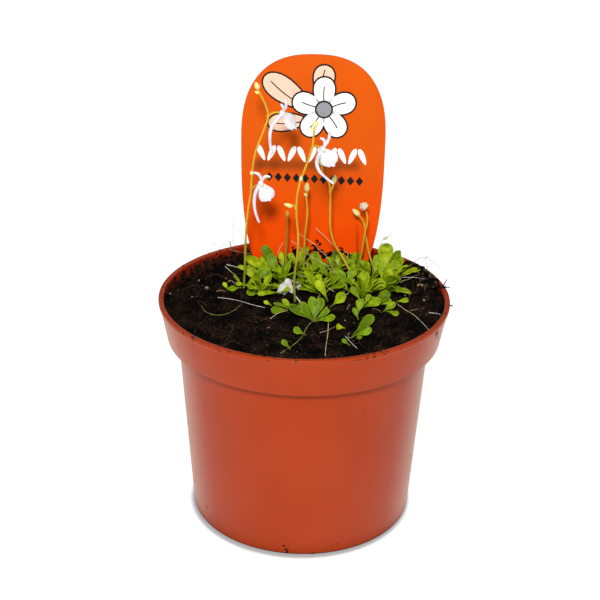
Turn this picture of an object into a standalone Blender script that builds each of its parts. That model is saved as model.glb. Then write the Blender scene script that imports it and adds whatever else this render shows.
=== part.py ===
"""A small pot of bladderwort: a terracotta-coloured plastic pot filled with peat, tufts of
spoon-shaped leaves, thread-like flower stalks with white spurred flowers, and a plain orange
plant label pushed into the peat behind them.

Metres, +Z up, origin on the pot's axis where the pot stands, the front of the pot towards -Y.
The lengths below are written in millimetres and scaled by MM where a shape is made.
"""

import math
import random
from collections import namedtuple

import bmesh
import bpy
from mathutils import Matrix, Vector
from mathutils.bvhtree import BVHTree

MM = 0.001
GAP = 0.3  # between neighbouring pieces
WELD = 1e-6  # metres

# Pot
RIM_RADIUS = 45.0
POT_HEIGHT = 72.2
POT_WALL = 1.0
LIP_WIDTH = 1.5
LIP_DEPTH = 1.5
LIP_OVERHANG = 0.4
COLLAR_DEPTH = 12.7
COLLAR_FOOT_RADIUS = 42.5
BODY_TOP_RADIUS = 39.2
BASE_RADIUS = 35.2
EDGE_ROUND = 0.5
LIP_ROUND = 0.6
FOOT_RING_WIDTH = 3.0
FLOOR_RISE = 1.5
FLOOR_THICKNESS = 1.2
DRAIN_HOLES = 8
DRAIN_RADIUS = 3.0
DRAIN_CIRCLE_RADIUS = 22.0
DRAIN_SIDES = 10
POT_SIDES = 48
COLLAR_FOOT_Z = POT_HEIGHT - COLLAR_DEPTH
LEDGE_Z = COLLAR_FOOT_Z + POT_WALL
LEDGE_RADIUS = COLLAR_FOOT_RADIUS - POT_WALL
LIP_Z = POT_HEIGHT - LIP_DEPTH
FLOOR_TOP = FLOOR_RISE + FLOOR_THICKNESS

# Peat
PEAT_LEVEL = 67.4
PEAT_RINGS = 8
PEAT_SIDES = 44
PEAT_CLEARANCE = 0.35
CUTTER_HEADROOM = 6.0

# Label
LABEL_CENTRE_X = 2.1
LABEL_Y = 31.0
LABEL_BACKWARD_LEAN = 3.0
LABEL_THICKNESS = 0.8
LABEL_HALF_WIDTH = 23.1
LABEL_TOP_Z = 139.0
LABEL_WIDEST_Z = 111.5
LABEL_PEAT_Z = 70.0
LABEL_PEAT_HALF_WIDTH = 18.9
LABEL_TIP_Z = 30.0
LABEL_TIP_HALF_WIDTH = 2.0
LABEL_SHOULDER_POWER = 2.5
LABEL_SHOULDER_STEPS = 9
LABEL_SIDE_STEPS = 8

# Leaves
BLADE_THICKNESS = 0.6
PETIOLE_HALF_WIDTH = 0.42
BLADE_STATIONS = (0.0, 0.4, 0.64, 0.88, 1.0)
BLADE_END = 0.985
CROWN_RADIUS = 0.9
CROWN_RISE = 0.4
CROWN_DEPTH = 3.5
CROWN_SIDES = 6
LEAVES_TO_STAND_UP = 3
LEAF_TRIES = 24
LEAF_TURN = 9
LEAF_SEED = 5

# Flower stalks
STALK_RADIUS = 0.46
STALK_TAPER = 0.25
STALK_DEPTH = 6.0
STALK_HOLE_SIDES = 8
PEDICEL_RADIUS = 0.34
SPUR_RADIUS = 0.7
EAR_RADIUS = 0.45
PETAL_THICKNESS = 0.6

# Leaves fan out round the direction called facing, in degrees: 0 is to the right, 90 to the back
Tuft = namedtuple("Tuft", "name x y leaves length facing spread")
TUFTS = (
    Tuft("tuft_front", 3.1, -10.2, 10, 10.2, 95, 320),
    Tuft("tuft_front_right", 17.3, -19.0, 4, 8.6, 70, 170),
    Tuft("tuft_front_small", 15.3, -8.3, 3, 5.0, 110, 220),
    Tuft("tuft_single", 9.2, -2.4, 4, 9.4, 75, 230),
    Tuft("tuft_front_left", -3.6, -2.4, 6, 7.6, 150, 240),
    Tuft("tuft_right_small", 27.0, 0.6, 5, 6.8, 20, 300),
    Tuft("tuft_right", 18.6, 5.6, 10, 10.8, 100, 340),
    Tuft("tuft_middle", 5.0, 8.6, 9, 9.2, 80, 340),
    Tuft("tuft_left_small", -20.5, 9.0, 5, 5.4, 190, 320),
    Tuft("tuft_left", -13.6, 9.6, 9, 8.6, 120, 340),
    Tuft("tuft_left_inner", -7.4, 15.6, 9, 10.2, 100, 340),
    Tuft("tuft_right_outer", 26.6, 10.6, 8, 10.4, 60, 330),
    Tuft("tuft_middle_right", 12.4, 14.6, 6, 9.8, 90, 340),
    Tuft("tuft_right_back", 20.8, 18.0, 8, 11.2, 80, 340),
    Tuft("tuft_right_far", 28.6, 19.6, 6, 12.0, 100, 300),
    Tuft("tuft_middle_back", 2.6, 18.4, 9, 9.2, 90, 340),
    Tuft("tuft_back", 10.6, 24.2, 8, 9.2, 200, 340),
    Tuft("tuft_back_right", 16.2, 27.0, 6, 9.0, 120, 300),
    Tuft("tuft_back_left", -2.2, 25.4, 7, 9.0, 130, 320),
    Tuft("tuft_left_back", -12.0, 21.0, 8, 11.0, 110, 320),
    Tuft("tuft_left_outer", -17.4, 15.8, 5, 7.6, 130, 300),
    Tuft("sprig_front", 2.4, -18.8, 1, 6.8, 190, 0),
    Tuft("sprig_front_left", -2.0, -27.8, 1, 6.4, 180, 0),
    Tuft("sprig_front_mid", 11.1, -16.6, 2, 5.4, 60, 180),
    Tuft("sprig_front_far", 14.4, -27.6, 1, 5.6, 150, 0),
)

# Each stalk: the points of its middle line above the peat, as x, y, z
STALK_ROUTES = {
    "stalk_left": (
        (-19.4, 15.0, 69.0), (-19.1, 15.4, 74.6), (-18.9, 15.8, 82.5), (-18.2, 16.0, 92.8),
        (-17.2, 16.0, 99.5), (-16.9, 16.0, 104.4), (-15.9, 16.0, 112.1), (-13.0, 16.0, 120.5),
        (-11.9, 16.0, 124.3), (-12.6, 15.8, 127.5), (-14.4, 15.4, 131.6), (-15.1, 15.2, 133.4),
    ),
    "stalk_middle": (
        (-2.9, 5.0, 69.0), (-3.2, 6.0, 74.5), (-2.3, 7.0, 83.3), (-2.2, 8.0, 88.0),
        (-2.9, 8.0, 97.0), (-2.4, 8.0, 103.7), (0.0, 8.0, 111.7), (1.6, 8.0, 117.0),
        (2.0, 8.0, 121.1), (2.3, 8.0, 123.8),
    ),
    "stalk_bud": (
        (-0.4, 18.6, 69.5), (-0.2, 20.0, 76.0), (-0.1, 21.5, 82.5), (0.6, 22.0, 90.5),
        (0.2, 22.0, 96.5), (0.3, 22.0, 98.0),
    ),
    "stalk_bud_behind": (
        (-6.3, 21.5, 69.5), (-6.1, 23.0, 76.0), (-5.8, 24.0, 83.0), (-5.8, 24.0, 88.6),
    ),
    "stalk_right": (
        (15.8, 18.5, 69.8), (12.6, 20.3, 75.5), (10.0, 21.0, 79.5), (8.2, 21.0, 85.0),
        (7.8, 21.0, 92.2), (7.7, 21.0, 98.0), (7.0, 21.0, 101.9), (5.3, 21.0, 104.4),
        (4.7, 21.0, 107.5),
    ),
    "stalk_withered": (
        (18.0, 26.2, 70.4), (18.6, 25.0, 76.5), (19.3, 24.0, 83.5), (19.9, 24.0, 88.0),
        (19.5, 24.0, 90.7),
    ),
    "stalk_right_bud": (
        (22.6, 26.3, 70.6), (20.9, 27.2, 75.5), (19.7, 27.4, 81.0), (18.7, 27.4, 86.0),
        (17.1, 27.2, 88.2),
    ),
}

# Small shoots fused to a stalk: where they leave it and where they end
SHOOTS = {
    "stalk_left": (
        ((-11.9, 16.0, 124.3), (-10.4, 15.2, 125.6), (-9.0, 14.7, 125.9)),
        ((-17.0, 16.0, 100.3), (-16.3, 15.0, 101.6), (-15.4, 14.2, 102.7)),
    ),
    "stalk_middle": (
        ((1.4, 8.0, 116.5), (2.2, 7.3, 117.9), (3.0, 6.9, 118.0)),
        ((-3.0, 8.0, 97.2), (-3.8, 7.8, 98.6), (-4.6, 7.7, 98.4)),
    ),
    "stalk_right": (((7.7, 21.0, 98.6), (8.5, 20.7, 100.3), (8.7, 20.6, 101.6)),),
}

# Buds fused to a stalk: centre, half length, half width, and the way they point
BUDS = {
    "stalk_left": (((-15.3, 15.1, 134.0), 1.2, 0.8, (-0.4, 0.0, 1.0)),
                   ((-15.3, 15.2, 131.9), 0.8, 0.5, (-0.9, 0.0, 0.3)),
                   ((-16.9, 15.8, 106.0), 0.8, 0.6, (-0.2, 0.0, 0.9))),
    "stalk_middle": (((2.4, 8.0, 124.5), 1.1, 0.85, (0.2, 0.0, 1.0)),
                     ((1.5, 7.8, 122.8), 0.8, 0.5, (-0.9, 0.0, 0.5)),
                     ((-1.6, 7.8, 107.3), 1.0, 0.6, (0.1, 0.0, 1.0)),
                     ((-5.4, 7.6, 98.6), 1.4, 0.7, (-0.9, 0.0, 0.35))),
    "stalk_bud": (((0.3, 22.0, 99.4), 1.5, 0.85, (0.05, 0.0, 1.0)),
                  ((-0.1, 21.8, 96.9), 0.8, 0.5, (-0.7, 0.0, 0.7))),
    "stalk_bud_behind": (((-5.8, 24.0, 89.4), 1.3, 0.7, (0.0, 0.0, 1.0)),),
    "stalk_right": (((8.8, 20.5, 102.7), 1.5, 0.8, (0.2, 0.0, 1.0)),
                    ((4.7, 21.0, 108.4), 1.3, 0.7, (0.0, 0.0, 1.0))),
    "stalk_right_bud": (((16.3, 27.1, 89.2), 1.6, 0.85, (-0.75, 0.0, 0.75)),),
}

# Each open flower: the lip reaches outward from the throat, droops at its edge, and is spread
# to both sides in the direction called across
Flower = namedtuple("Flower", "throat spur ears reach outward across half_width droop")
FLOWERS = {
    "flower_top": Flower(
        throat=(-7.4, 14.2, 125.9),
        spur=((-7.6, 14.1, 125.5), (-9.4, 13.7, 123.7), (-10.9, 13.3, 121.2),
              (-11.3, 12.9, 118.2), (-11.0, 12.5, 115.4), (-10.7, 12.1, 113.4)),
        ears=(((-7.2, 14.1, 126.4), (-6.5, 13.8, 128.2), (-6.9, 13.5, 130.6)),
              ((-7.3, 14.0, 126.4), (-7.1, 13.0, 127.6), (-8.0, 12.4, 129.2))),
        reach=6.2, outward=(0.72, -0.30, -0.36), across=(0.34, 0.90, -0.06), half_width=2.9,
        droop=0.42,
    ),
    "flower_left": Flower(
        throat=(-13.9, 13.0, 103.6),
        spur=((-14.2, 13.1, 103.2), (-15.4, 13.1, 101.0), (-16.0, 12.9, 98.2),
              (-15.8, 12.6, 95.2), (-15.2, 12.3, 92.9), (-14.4, 12.0, 91.0)),
        ears=(((-13.9, 12.9, 103.9), (-14.0, 12.6, 105.7), (-14.9, 12.3, 107.0),
               (-16.4, 12.1, 107.5)),
              ((-13.7, 12.9, 104.0), (-13.0, 12.6, 105.7), (-12.4, 12.4, 106.2),
               (-11.1, 12.2, 106.0))),
        reach=6.3, outward=(0.50, -0.42, -0.76), across=(0.84, 0.28, 0.38), half_width=3.1,
        droop=0.16,
    ),
    "flower_middle": Flower(
        throat=(4.8, 6.0, 117.4),
        spur=((4.5, 6.1, 117.0), (3.5, 6.0, 115.0), (3.1, 5.8, 112.8), (3.9, 5.5, 110.6),
              (5.8, 5.2, 108.7), (8.3, 4.9, 106.8)),
        ears=(((5.0, 5.9, 117.8), (5.9, 5.7, 119.4), (6.6, 5.4, 121.2), (6.6, 5.2, 122.9)),
              ((4.9, 5.9, 117.9), (5.3, 5.6, 119.5), (4.9, 5.3, 120.6), (3.9, 5.1, 121.1))),
        reach=6.4, outward=(0.52, -0.38, -0.62), across=(0.80, 0.20, 0.52), half_width=3.2,
        droop=0.18,
    ),
}
WITHERED_FLOWER_CENTRE = (18.6, 23.9, 92.6)
WITHERED_FLOWER_RADIUS = 1.35
WITHERED_FLOWER_SEED = 4
FALLEN_FLOWER = (-4.4, 10.2)
FALLEN_FLOWER_REACH = 5.4
FALLEN_FLOWER_HALF_WIDTH = 2.4
FALLEN_FLOWER_DROOP = 0.14

POT_COLOUR = (0.50, 0.075, 0.022)
PEAT_COLOUR = (0.012, 0.007, 0.004)
LABEL_COLOUR = (0.85, 0.13, 0.010)
LEAF_COLOUR = (0.27, 0.46, 0.020)
STALK_COLOUR = (0.55, 0.42, 0.045)
PETAL_COLOUR = (0.86, 0.80, 0.84)


def at(point):
    """A point given in millimetres, as a vector in metres."""
    return Vector(point) * MM


def finish(name, colour, roughness):
    """A plain plastic-like or plant-like material."""
    material = bpy.data.materials.new(name)
    material.use_nodes = True
    shader = material.node_tree.nodes["Principled BSDF"]
    shader.inputs["Base Color"].default_value = (*colour, 1.0)
    shader.inputs["Roughness"].default_value = roughness
    return material


def object_from(bm, name, collection=None):
    """The object made from a bmesh, in the scene or in a collection of its own."""
    mesh = bpy.data.meshes.new(name)
    bm.to_mesh(mesh)
    bm.free()
    made = bpy.data.objects.new(name, mesh)
    (collection or bpy.context.scene.collection).objects.link(made)
    return made


def turned(profile, sides):
    """A closed solid turned about the Z axis from a profile that starts and ends on the axis."""
    bm = bmesh.new()
    corners = [bm.verts.new((r * MM, 0.0, z * MM)) for r, z in profile]
    edges = [bm.edges.new(pair) for pair in zip(corners, corners[1:])]
    bmesh.ops.spin(
        bm, geom=corners + edges, cent=(0, 0, 0), axis=(0, 0, 1),
        angle=2 * math.pi, steps=sides, use_merge=True,
    )
    bmesh.ops.remove_doubles(bm, verts=bm.verts[:], dist=WELD)
    bmesh.ops.recalc_face_normals(bm, faces=bm.faces[:])
    return bm


def evaluated_mesh(obj):
    """A new mesh of the object with its modifiers or its bevel applied."""
    graph = bpy.context.evaluated_depsgraph_get()
    return bpy.data.meshes.new_from_object(obj.evaluated_get(graph))


def combine(base, others, operation, solver="EXACT"):
    """Joins or cuts base with every object of a collection, then removes that collection."""
    modifier = base.modifiers.new(operation.lower(), "BOOLEAN")
    modifier.operation = operation
    modifier.solver = solver
    modifier.operand_type = "COLLECTION"
    modifier.collection = others
    result = evaluated_mesh(base)
    base.modifiers.clear()
    base.data = result
    for other in list(others.objects):
        bpy.data.objects.remove(other)
    bpy.data.collections.remove(others)
    return base


def keep_outer_skin(obj):
    """Fills any hollow that joining sealed, and drops any scrap, by keeping the largest shell."""
    bm = bmesh.new()
    bm.from_mesh(obj.data)
    bmesh.ops.triangulate(bm, faces=bm.faces[:])
    shells = []
    unseen = set(bm.faces)
    while unseen:
        shell, waiting = [], [unseen.pop()]
        while waiting:
            face = waiting.pop()
            shell.append(face)
            for side in face.edges:
                for near in side.link_faces:
                    if len(side.link_faces) == 2 and near in unseen:
                        unseen.remove(near)
                        waiting.append(near)
        shells.append(shell)
    shells.sort(key=len)
    spare = [face for shell in shells[:-1] for face in shell]
    bmesh.ops.delete(bm, geom=spare, context="FACES")
    bm.to_mesh(obj.data)
    bm.free()
    return obj


def workshop():
    """A collection for pieces that are about to be joined to, or cut from, another."""
    made = bpy.data.collections.new("workshop")
    bpy.context.scene.collection.children.link(made)
    return made


def inner_radius(z):
    """The pot's inside radius at a height."""
    if z > LEDGE_Z:
        share = (z - LEDGE_Z) / (POT_HEIGHT - EDGE_ROUND - LEDGE_Z)
        return LEDGE_RADIUS + (RIM_RADIUS - LIP_WIDTH - LEDGE_RADIUS) * share
    return BASE_RADIUS + (BODY_TOP_RADIUS - BASE_RADIUS) * z / COLLAR_FOOT_Z - POT_WALL


def make_pot():
    """The pot: foot ring, raised floor with drain holes, tapering body, collar and rolled lip."""
    lip_inside = RIM_RADIUS - LIP_WIDTH
    profile = [
        (0, FLOOR_RISE),
        (BASE_RADIUS - FOOT_RING_WIDTH, FLOOR_RISE),
        (BASE_RADIUS - FOOT_RING_WIDTH, 0),
        (BASE_RADIUS - EDGE_ROUND, 0),
        (BASE_RADIUS, EDGE_ROUND),
        (BODY_TOP_RADIUS, COLLAR_FOOT_Z),
        (COLLAR_FOOT_RADIUS - EDGE_ROUND, COLLAR_FOOT_Z),
        (COLLAR_FOOT_RADIUS, COLLAR_FOOT_Z + EDGE_ROUND),
        (RIM_RADIUS - LIP_OVERHANG, LIP_Z),
        (RIM_RADIUS, LIP_Z + EDGE_ROUND / 2),
        (RIM_RADIUS, POT_HEIGHT - LIP_ROUND),
        (RIM_RADIUS - LIP_ROUND, POT_HEIGHT),
        (lip_inside + EDGE_ROUND, POT_HEIGHT),
        (lip_inside, POT_HEIGHT - EDGE_ROUND),
        (LEDGE_RADIUS, LEDGE_Z),
        (BODY_TOP_RADIUS - POT_WALL, LEDGE_Z),
        (inner_radius(FLOOR_TOP), FLOOR_TOP),
        (0, FLOOR_TOP),
    ]
    pot = object_from(turned(profile, POT_SIDES), "pot")
    cutters = workshop()
    for index in range(DRAIN_HOLES + 1):
        turn = 2 * math.pi * index / DRAIN_HOLES
        reach = 0 if index == DRAIN_HOLES else DRAIN_CIRCLE_RADIUS
        bm = bmesh.new()
        bmesh.ops.create_cone(
            bm, cap_ends=True, segments=DRAIN_SIDES, radius1=DRAIN_RADIUS * MM,
            radius2=DRAIN_RADIUS * MM, depth=4 * FLOOR_TOP * MM,
            matrix=Matrix.Translation(at((reach * math.cos(turn), reach * math.sin(turn), 0))),
        )
        object_from(bm, f"drain_{index}", cutters)
    combine(pot, cutters, "DIFFERENCE")
    pot.data.shade_smooth()
    pot.data.set_sharp_from_angle(angle=math.radians(35))
    return pot


def mound(x, y, centre_x, centre_y, reach_x, reach_y, height):
    """A soft hill in the peat."""
    across = ((x - centre_x) / reach_x) ** 2 + ((y - centre_y) / reach_y) ** 2
    return height * math.exp(-across)


def peat_height(x, y):
    """The height of the peat: heaped behind the plants and against the rim at the right."""
    return (
        PEAT_LEVEL
        + mound(x, y, 2, 38, 31, 15, 2.9)
        + mound(x, y, 42, 5, 12, 23, 3.9)
        + mound(x, y, 8, 8, 20, 16, 0.9)
        + mound(x, y, -42, -4, 9, 15, 2.9)
        + 0.32 * math.sin(0.45 * x + 1.1) * math.cos(0.38 * y + 0.4)
        + 0.22 * math.sin(0.37 * x - 0.55 * y + 2.0)
        + 0.16 * math.sin(0.62 * x + 0.29 * y)
    )


def make_peat():
    """The peat: it fills the pot, with a lumpy top and plain holes for what stands in it."""
    edge = inner_radius(PEAT_LEVEL) - GAP
    rings = [(edge * index / PEAT_RINGS, PEAT_LEVEL) for index in range(PEAT_RINGS + 1)]
    profile = rings + [
        (LEDGE_RADIUS - GAP, LEDGE_Z + GAP),
        (BODY_TOP_RADIUS - POT_WALL - GAP, LEDGE_Z + GAP),
        (inner_radius(FLOOR_TOP) - GAP, FLOOR_TOP + GAP),
        (0, FLOOR_TOP + GAP),
    ]
    bm = turned(profile, PEAT_SIDES)
    for corner in bm.verts:
        if corner.co.z > (PEAT_LEVEL - GAP) * MM:
            x, y = corner.co.x / MM, corner.co.y / MM
            height = peat_height(x, y)
            reach = math.hypot(x, y)
            if reach > edge - GAP:
                grown = (inner_radius(height) - GAP) / reach
                corner.co.x *= grown
                corner.co.y *= grown
            corner.co.z = height * MM
    return object_from(bm, "peat")


def hole_cutter(x, y, radius, depth, sides, cutters):
    """A plain upright hole in the peat."""
    middle = peat_height(x, y) + (CUTTER_HEADROOM - depth) / 2
    bm = bmesh.new()
    bmesh.ops.create_cone(
        bm, cap_ends=True, segments=sides, radius1=radius * MM, radius2=radius * MM,
        depth=(depth + CUTTER_HEADROOM) * MM, matrix=Matrix.Translation(at((x, y, middle))),
    )
    object_from(bm, "hole", cutters)


def label_half_width(z):
    """Half the label's width at a height: round shoulders, full sides, then a long stake."""
    if z > LABEL_WIDEST_Z:
        share = (z - LABEL_WIDEST_Z) / (LABEL_TOP_Z - LABEL_WIDEST_Z)
        left_over = max(0.0, 1 - share**LABEL_SHOULDER_POWER)
        return LABEL_HALF_WIDTH * left_over ** (1 / LABEL_SHOULDER_POWER)
    if z > LABEL_PEAT_Z:
        share = (LABEL_WIDEST_Z - z) / (LABEL_WIDEST_Z - LABEL_PEAT_Z)
        return LABEL_HALF_WIDTH - (LABEL_HALF_WIDTH - LABEL_PEAT_HALF_WIDTH) * share**3
    share = (z - LABEL_TIP_Z) / (LABEL_PEAT_Z - LABEL_TIP_Z)
    return LABEL_TIP_HALF_WIDTH + (LABEL_PEAT_HALF_WIDTH - LABEL_TIP_HALF_WIDTH) * share


def label_plate(grow, thickness, low, high):
    """The label's outline, grown by a margin, as an upright plate that leans back a little."""
    shoulder = [
        LABEL_WIDEST_Z
        + (LABEL_TOP_Z - LABEL_WIDEST_Z) * math.sin(math.pi / 2 * step / LABEL_SHOULDER_STEPS)
        for step in range(LABEL_SHOULDER_STEPS + 1)
    ]
    side = [
        LABEL_PEAT_Z + (LABEL_WIDEST_Z - LABEL_PEAT_Z) * step / LABEL_SIDE_STEPS
        for step in range(LABEL_SIDE_STEPS)
    ]
    heights = [low] + [z for z in side + shoulder if z < high] + [high]
    right = [(label_half_width(z) + grow, z) for z in heights]
    left = [(-half, z) for half, z in reversed(right) if half > 0]
    bm = bmesh.new()
    corners = [bm.verts.new((u * MM, 0, (z - LABEL_PEAT_Z) * MM)) for u, z in right + left]
    face = bm.faces.new(corners)
    grown = bmesh.ops.extrude_face_region(bm, geom=[face])
    moved = [item for item in grown["geom"] if isinstance(item, bmesh.types.BMVert)]
    bmesh.ops.translate(bm, verts=moved, vec=(0, thickness * MM, 0))
    bmesh.ops.translate(bm, verts=bm.verts[:], vec=(0, -thickness * MM / 2, 0))
    bmesh.ops.rotate(
        bm, verts=bm.verts[:], cent=(0, 0, 0),
        matrix=Matrix.Rotation(-math.radians(LABEL_BACKWARD_LEAN), 3, "X"),
    )
    bmesh.ops.translate(bm, verts=bm.verts[:], vec=at((LABEL_CENTRE_X, LABEL_Y, LABEL_PEAT_Z)))
    bmesh.ops.recalc_face_normals(bm, faces=bm.faces[:])
    return bm


def tube(name, points, radii, collection, steps=1):
    """A round tapering tube along a smooth curve through the points, as a closed mesh."""
    data = bpy.data.curves.new(name, "CURVE")
    data.dimensions = "3D"
    data.resolution_u = steps
    data.bevel_depth = MM
    data.bevel_resolution = 1
    data.use_fill_caps = True
    spline = data.splines.new("BEZIER")
    spline.bezier_points.add(len(points) - 1)
    for knot, point, radius in zip(spline.bezier_points, points, radii):
        knot.co = at(point)
        knot.radius = radius
        knot.handle_left_type = knot.handle_right_type = "AUTO"
    guide = bpy.data.objects.new(name, data)
    bpy.context.scene.collection.objects.link(guide)
    bpy.context.view_layer.update()
    bm = bmesh.new()
    bm.from_mesh(evaluated_mesh(guide))
    bpy.data.objects.remove(guide)
    bmesh.ops.remove_doubles(bm, verts=bm.verts[:], dist=WELD)
    bmesh.ops.recalc_face_normals(bm, faces=bm.faces[:])
    return object_from(bm, name, collection)


def thicken(bm, thickness):
    """Gives a sheet its thickness, on the side that its faces look away from."""
    sheet = bm.faces[:] + bm.edges[:] + bm.verts[:]
    bmesh.ops.solidify(bm, geom=sheet, thickness=thickness * MM)
    bmesh.ops.recalc_face_normals(bm, faces=bm.faces[:])


def egg(name, centre, half_length, half_width, way, collection):
    """A small egg-shaped bud that points along a direction."""
    bm = bmesh.new()
    bmesh.ops.create_uvsphere(bm, u_segments=6, v_segments=5, radius=MM)
    bmesh.ops.scale(bm, verts=bm.verts[:], vec=(half_width, half_width, half_length))
    turn = Vector(way).to_track_quat("Z", "Y").to_matrix()
    bmesh.ops.rotate(bm, verts=bm.verts[:], cent=(0, 0, 0), matrix=turn)
    bmesh.ops.translate(bm, verts=bm.verts[:], vec=at(centre))
    return object_from(bm, name, collection)


def make_stalk(name):
    """A flower stalk with its side shoots and buds in one solid, standing in a hole."""
    route = STALK_ROUTES[name]
    x, y, _ = route[0]
    foot = peat_height(x, y)
    points = [(x, y, foot - STALK_DEPTH), (x, y, foot + GAP)] + list(route[1:])
    last = len(points) - 1
    radii = [STALK_RADIUS * (1 - STALK_TAPER * index / last) for index in range(last + 1)]
    stalk = tube(name, points, radii, None)
    extras = workshop()
    for shoot in SHOOTS.get(name, ()):
        tube("shoot", shoot, [PEDICEL_RADIUS] * len(shoot), extras)
    for bud in BUDS.get(name, ()):
        egg("bud", *bud, extras)
    combine(stalk, extras, "UNION")
    return stalk


def fan_petal(name, throat, reach, outward, across, half_width, droop, collection):
    """A flower's broad lower lip: a thin fan with three soft lobes that droops at its edge."""
    outward = Vector(outward).normalized()
    across = Vector(across)
    across = (across - across.dot(outward) * outward).normalized()
    facing = outward.cross(across)
    columns, rows = 6, 3
    bm = bmesh.new()
    bmesh.ops.create_grid(bm, x_segments=columns, y_segments=rows, size=1.0)
    for corner in bm.verts:
        v, u = corner.co.x, (corner.co.y + 1) / 2
        lobes = 1 - 0.16 * v * v + 0.07 * math.cos(3 * math.pi * v)
        length = reach * u * (1 + (lobes - 1) * u)
        half = 0.7 + (half_width - 0.7) * math.sin(u * math.pi / 2) ** 1.2
        sag = droop * reach * u * u + 0.10 * half_width * v * v * u
        corner.co = at(throat) + (outward * length + across * v * half - facing * sag) * MM
    bmesh.ops.triangulate(bm, faces=bm.faces[:])
    bmesh.ops.recalc_face_normals(bm, faces=bm.faces[:])
    thicken(bm, PETAL_THICKNESS)
    return object_from(bm, name, collection)


def make_flower(name):
    """An open flower: broad lower lip, two narrow ears above it and a long curved spur."""
    flower = FLOWERS[name]
    last = len(flower.spur) - 1
    radii = [SPUR_RADIUS * (1 - 0.5 * index / last) for index in range(last + 1)]
    spur = tube(name, flower.spur, radii, None, 2)
    petals = workshop()
    egg("throat", flower.throat, 1.15, 0.95, flower.outward, petals)
    for ear in flower.ears:
        tube("ear", ear, [EAR_RADIUS] * len(ear), petals)
    fan_petal(
        "lip", flower.throat, flower.reach, flower.outward, flower.across, flower.half_width,
        flower.droop, petals,
    )
    return combine(spur, petals, "UNION")


def make_withered_flower():
    """A withered flower: a small crumpled ball at the top of its stalk."""
    draw = random.Random(WITHERED_FLOWER_SEED)
    bm = bmesh.new()
    bmesh.ops.create_icosphere(bm, subdivisions=2, radius=WITHERED_FLOWER_RADIUS * MM)
    for corner in bm.verts:
        corner.co *= draw.uniform(0.72, 1.1)
    bmesh.ops.translate(bm, verts=bm.verts[:], vec=at(WITHERED_FLOWER_CENTRE))
    return object_from(bm, "flower_withered")


def make_fallen_flower():
    """A dropped lower lip, folded like a little tent, that lies on the peat."""
    x, y = FALLEN_FLOWER
    top = (x, y, peat_height(x, y) + 0.8 * FALLEN_FLOWER_REACH)
    others = workshop()
    for side, turn, collection in ((1, 28, None), (-1, -32, others)):
        angle = math.radians(turn)
        outward = (math.sin(angle), -0.35 * math.cos(angle), -0.62)
        across = (side * math.cos(angle), side * 0.6, 0.15)
        petal = fan_petal(
            "flower_fallen", top, FALLEN_FLOWER_REACH, outward, across,
            FALLEN_FLOWER_HALF_WIDTH, FALLEN_FLOWER_DROOP, collection,
        )
        if collection is None:
            flower = petal
    combine(flower, others, "UNION")
    low = min(
        corner.co.z / MM - peat_height(corner.co.x / MM, corner.co.y / MM)
        for corner in flower.data.vertices
    )
    flower.data.transform(Matrix.Translation((0, 0, (GAP - low) * MM)))
    return flower


def blade_half_width(share, widest):
    """Half a leaf's width along its length: a slim stalk that opens into a rounded spoon."""
    spoon = math.sin(math.pi * min(share, BLADE_END) ** 2.2) ** 0.62
    return max(PETIOLE_HALF_WIDTH, widest * spoon)


def blade(root, leaf, thickness, margin):
    """A thin arched leaf: root, then its azimuth, rise, bend, length, half width, cup and roll."""
    azimuth, rise, bend, length, widest, cup, roll = leaf
    bm = bmesh.new()
    bmesh.ops.create_grid(bm, x_segments=2, y_segments=len(BLADE_STATIONS) - 1, size=1.0)
    ways = Vector((math.cos(azimuth), math.sin(azimuth), 0))
    side = Vector((-math.sin(azimuth), math.cos(azimuth), 0))
    spine = [Vector(root)]
    angles = []
    grown = (length + margin) / length
    for before, after in zip(BLADE_STATIONS, BLADE_STATIONS[1:]):
        angle = rise - bend * ((before + after) / 2) ** 1.4
        angles.append(angle)
        step = ways * math.cos(angle) + Vector((0, 0, math.sin(angle)))
        spine.append(spine[-1] + step * (after - before) * length * grown)
    angles.append(angles[-1])
    for corner in bm.verts:
        row = round((corner.co.y + 1) / 2 * (len(BLADE_STATIONS) - 1))
        share = BLADE_STATIONS[row]
        angle = angles[row]
        up = ways * -math.sin(angle) + Vector((0, 0, math.cos(angle)))
        tilt = roll * share
        cross = side * math.cos(tilt) + up * math.sin(tilt)
        lift = up * math.cos(tilt) - side * math.sin(tilt)
        half = -(blade_half_width(share, widest) + margin) * corner.co.x
        raised = lift * (cup * abs(half) * share + thickness / 2)
        corner.co = (spine[row] + cross * half + raised) * MM
    bmesh.ops.triangulate(bm, faces=bm.faces[:])
    thicken(bm, thickness)
    return bm


def lies_free(bm, root, taken):
    """Whether a leaf keeps off the peat, the rim and every piece placed before it."""
    crown = Vector(root) * MM
    for corner in bm.verts:
        x, y, z = corner.co / MM
        away = math.hypot(corner.co.x - crown.x, corner.co.y - crown.y) / MM
        if away > CROWN_RADIUS + GAP and z < peat_height(x, y) + PEAT_CLEARANCE:
            return False
        if math.hypot(x, y) > inner_radius(z) - GAP:
            return False
    tree = BVHTree.FromBMesh(bm)
    return not any(tree.overlap(other) for other in taken)


def meets(bm, root, reach, others):
    """Whether a leaf crosses another leaf of its own tuft farther from the root than reach."""
    bm.faces.ensure_lookup_table()
    tree = BVHTree.FromBMesh(bm)
    crown = Vector(root) * MM
    for other in others:
        for index, _ in tree.overlap(other):
            if (bm.faces[index].calc_center_median() - crown).length > reach * MM:
                return True
    return False


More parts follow.
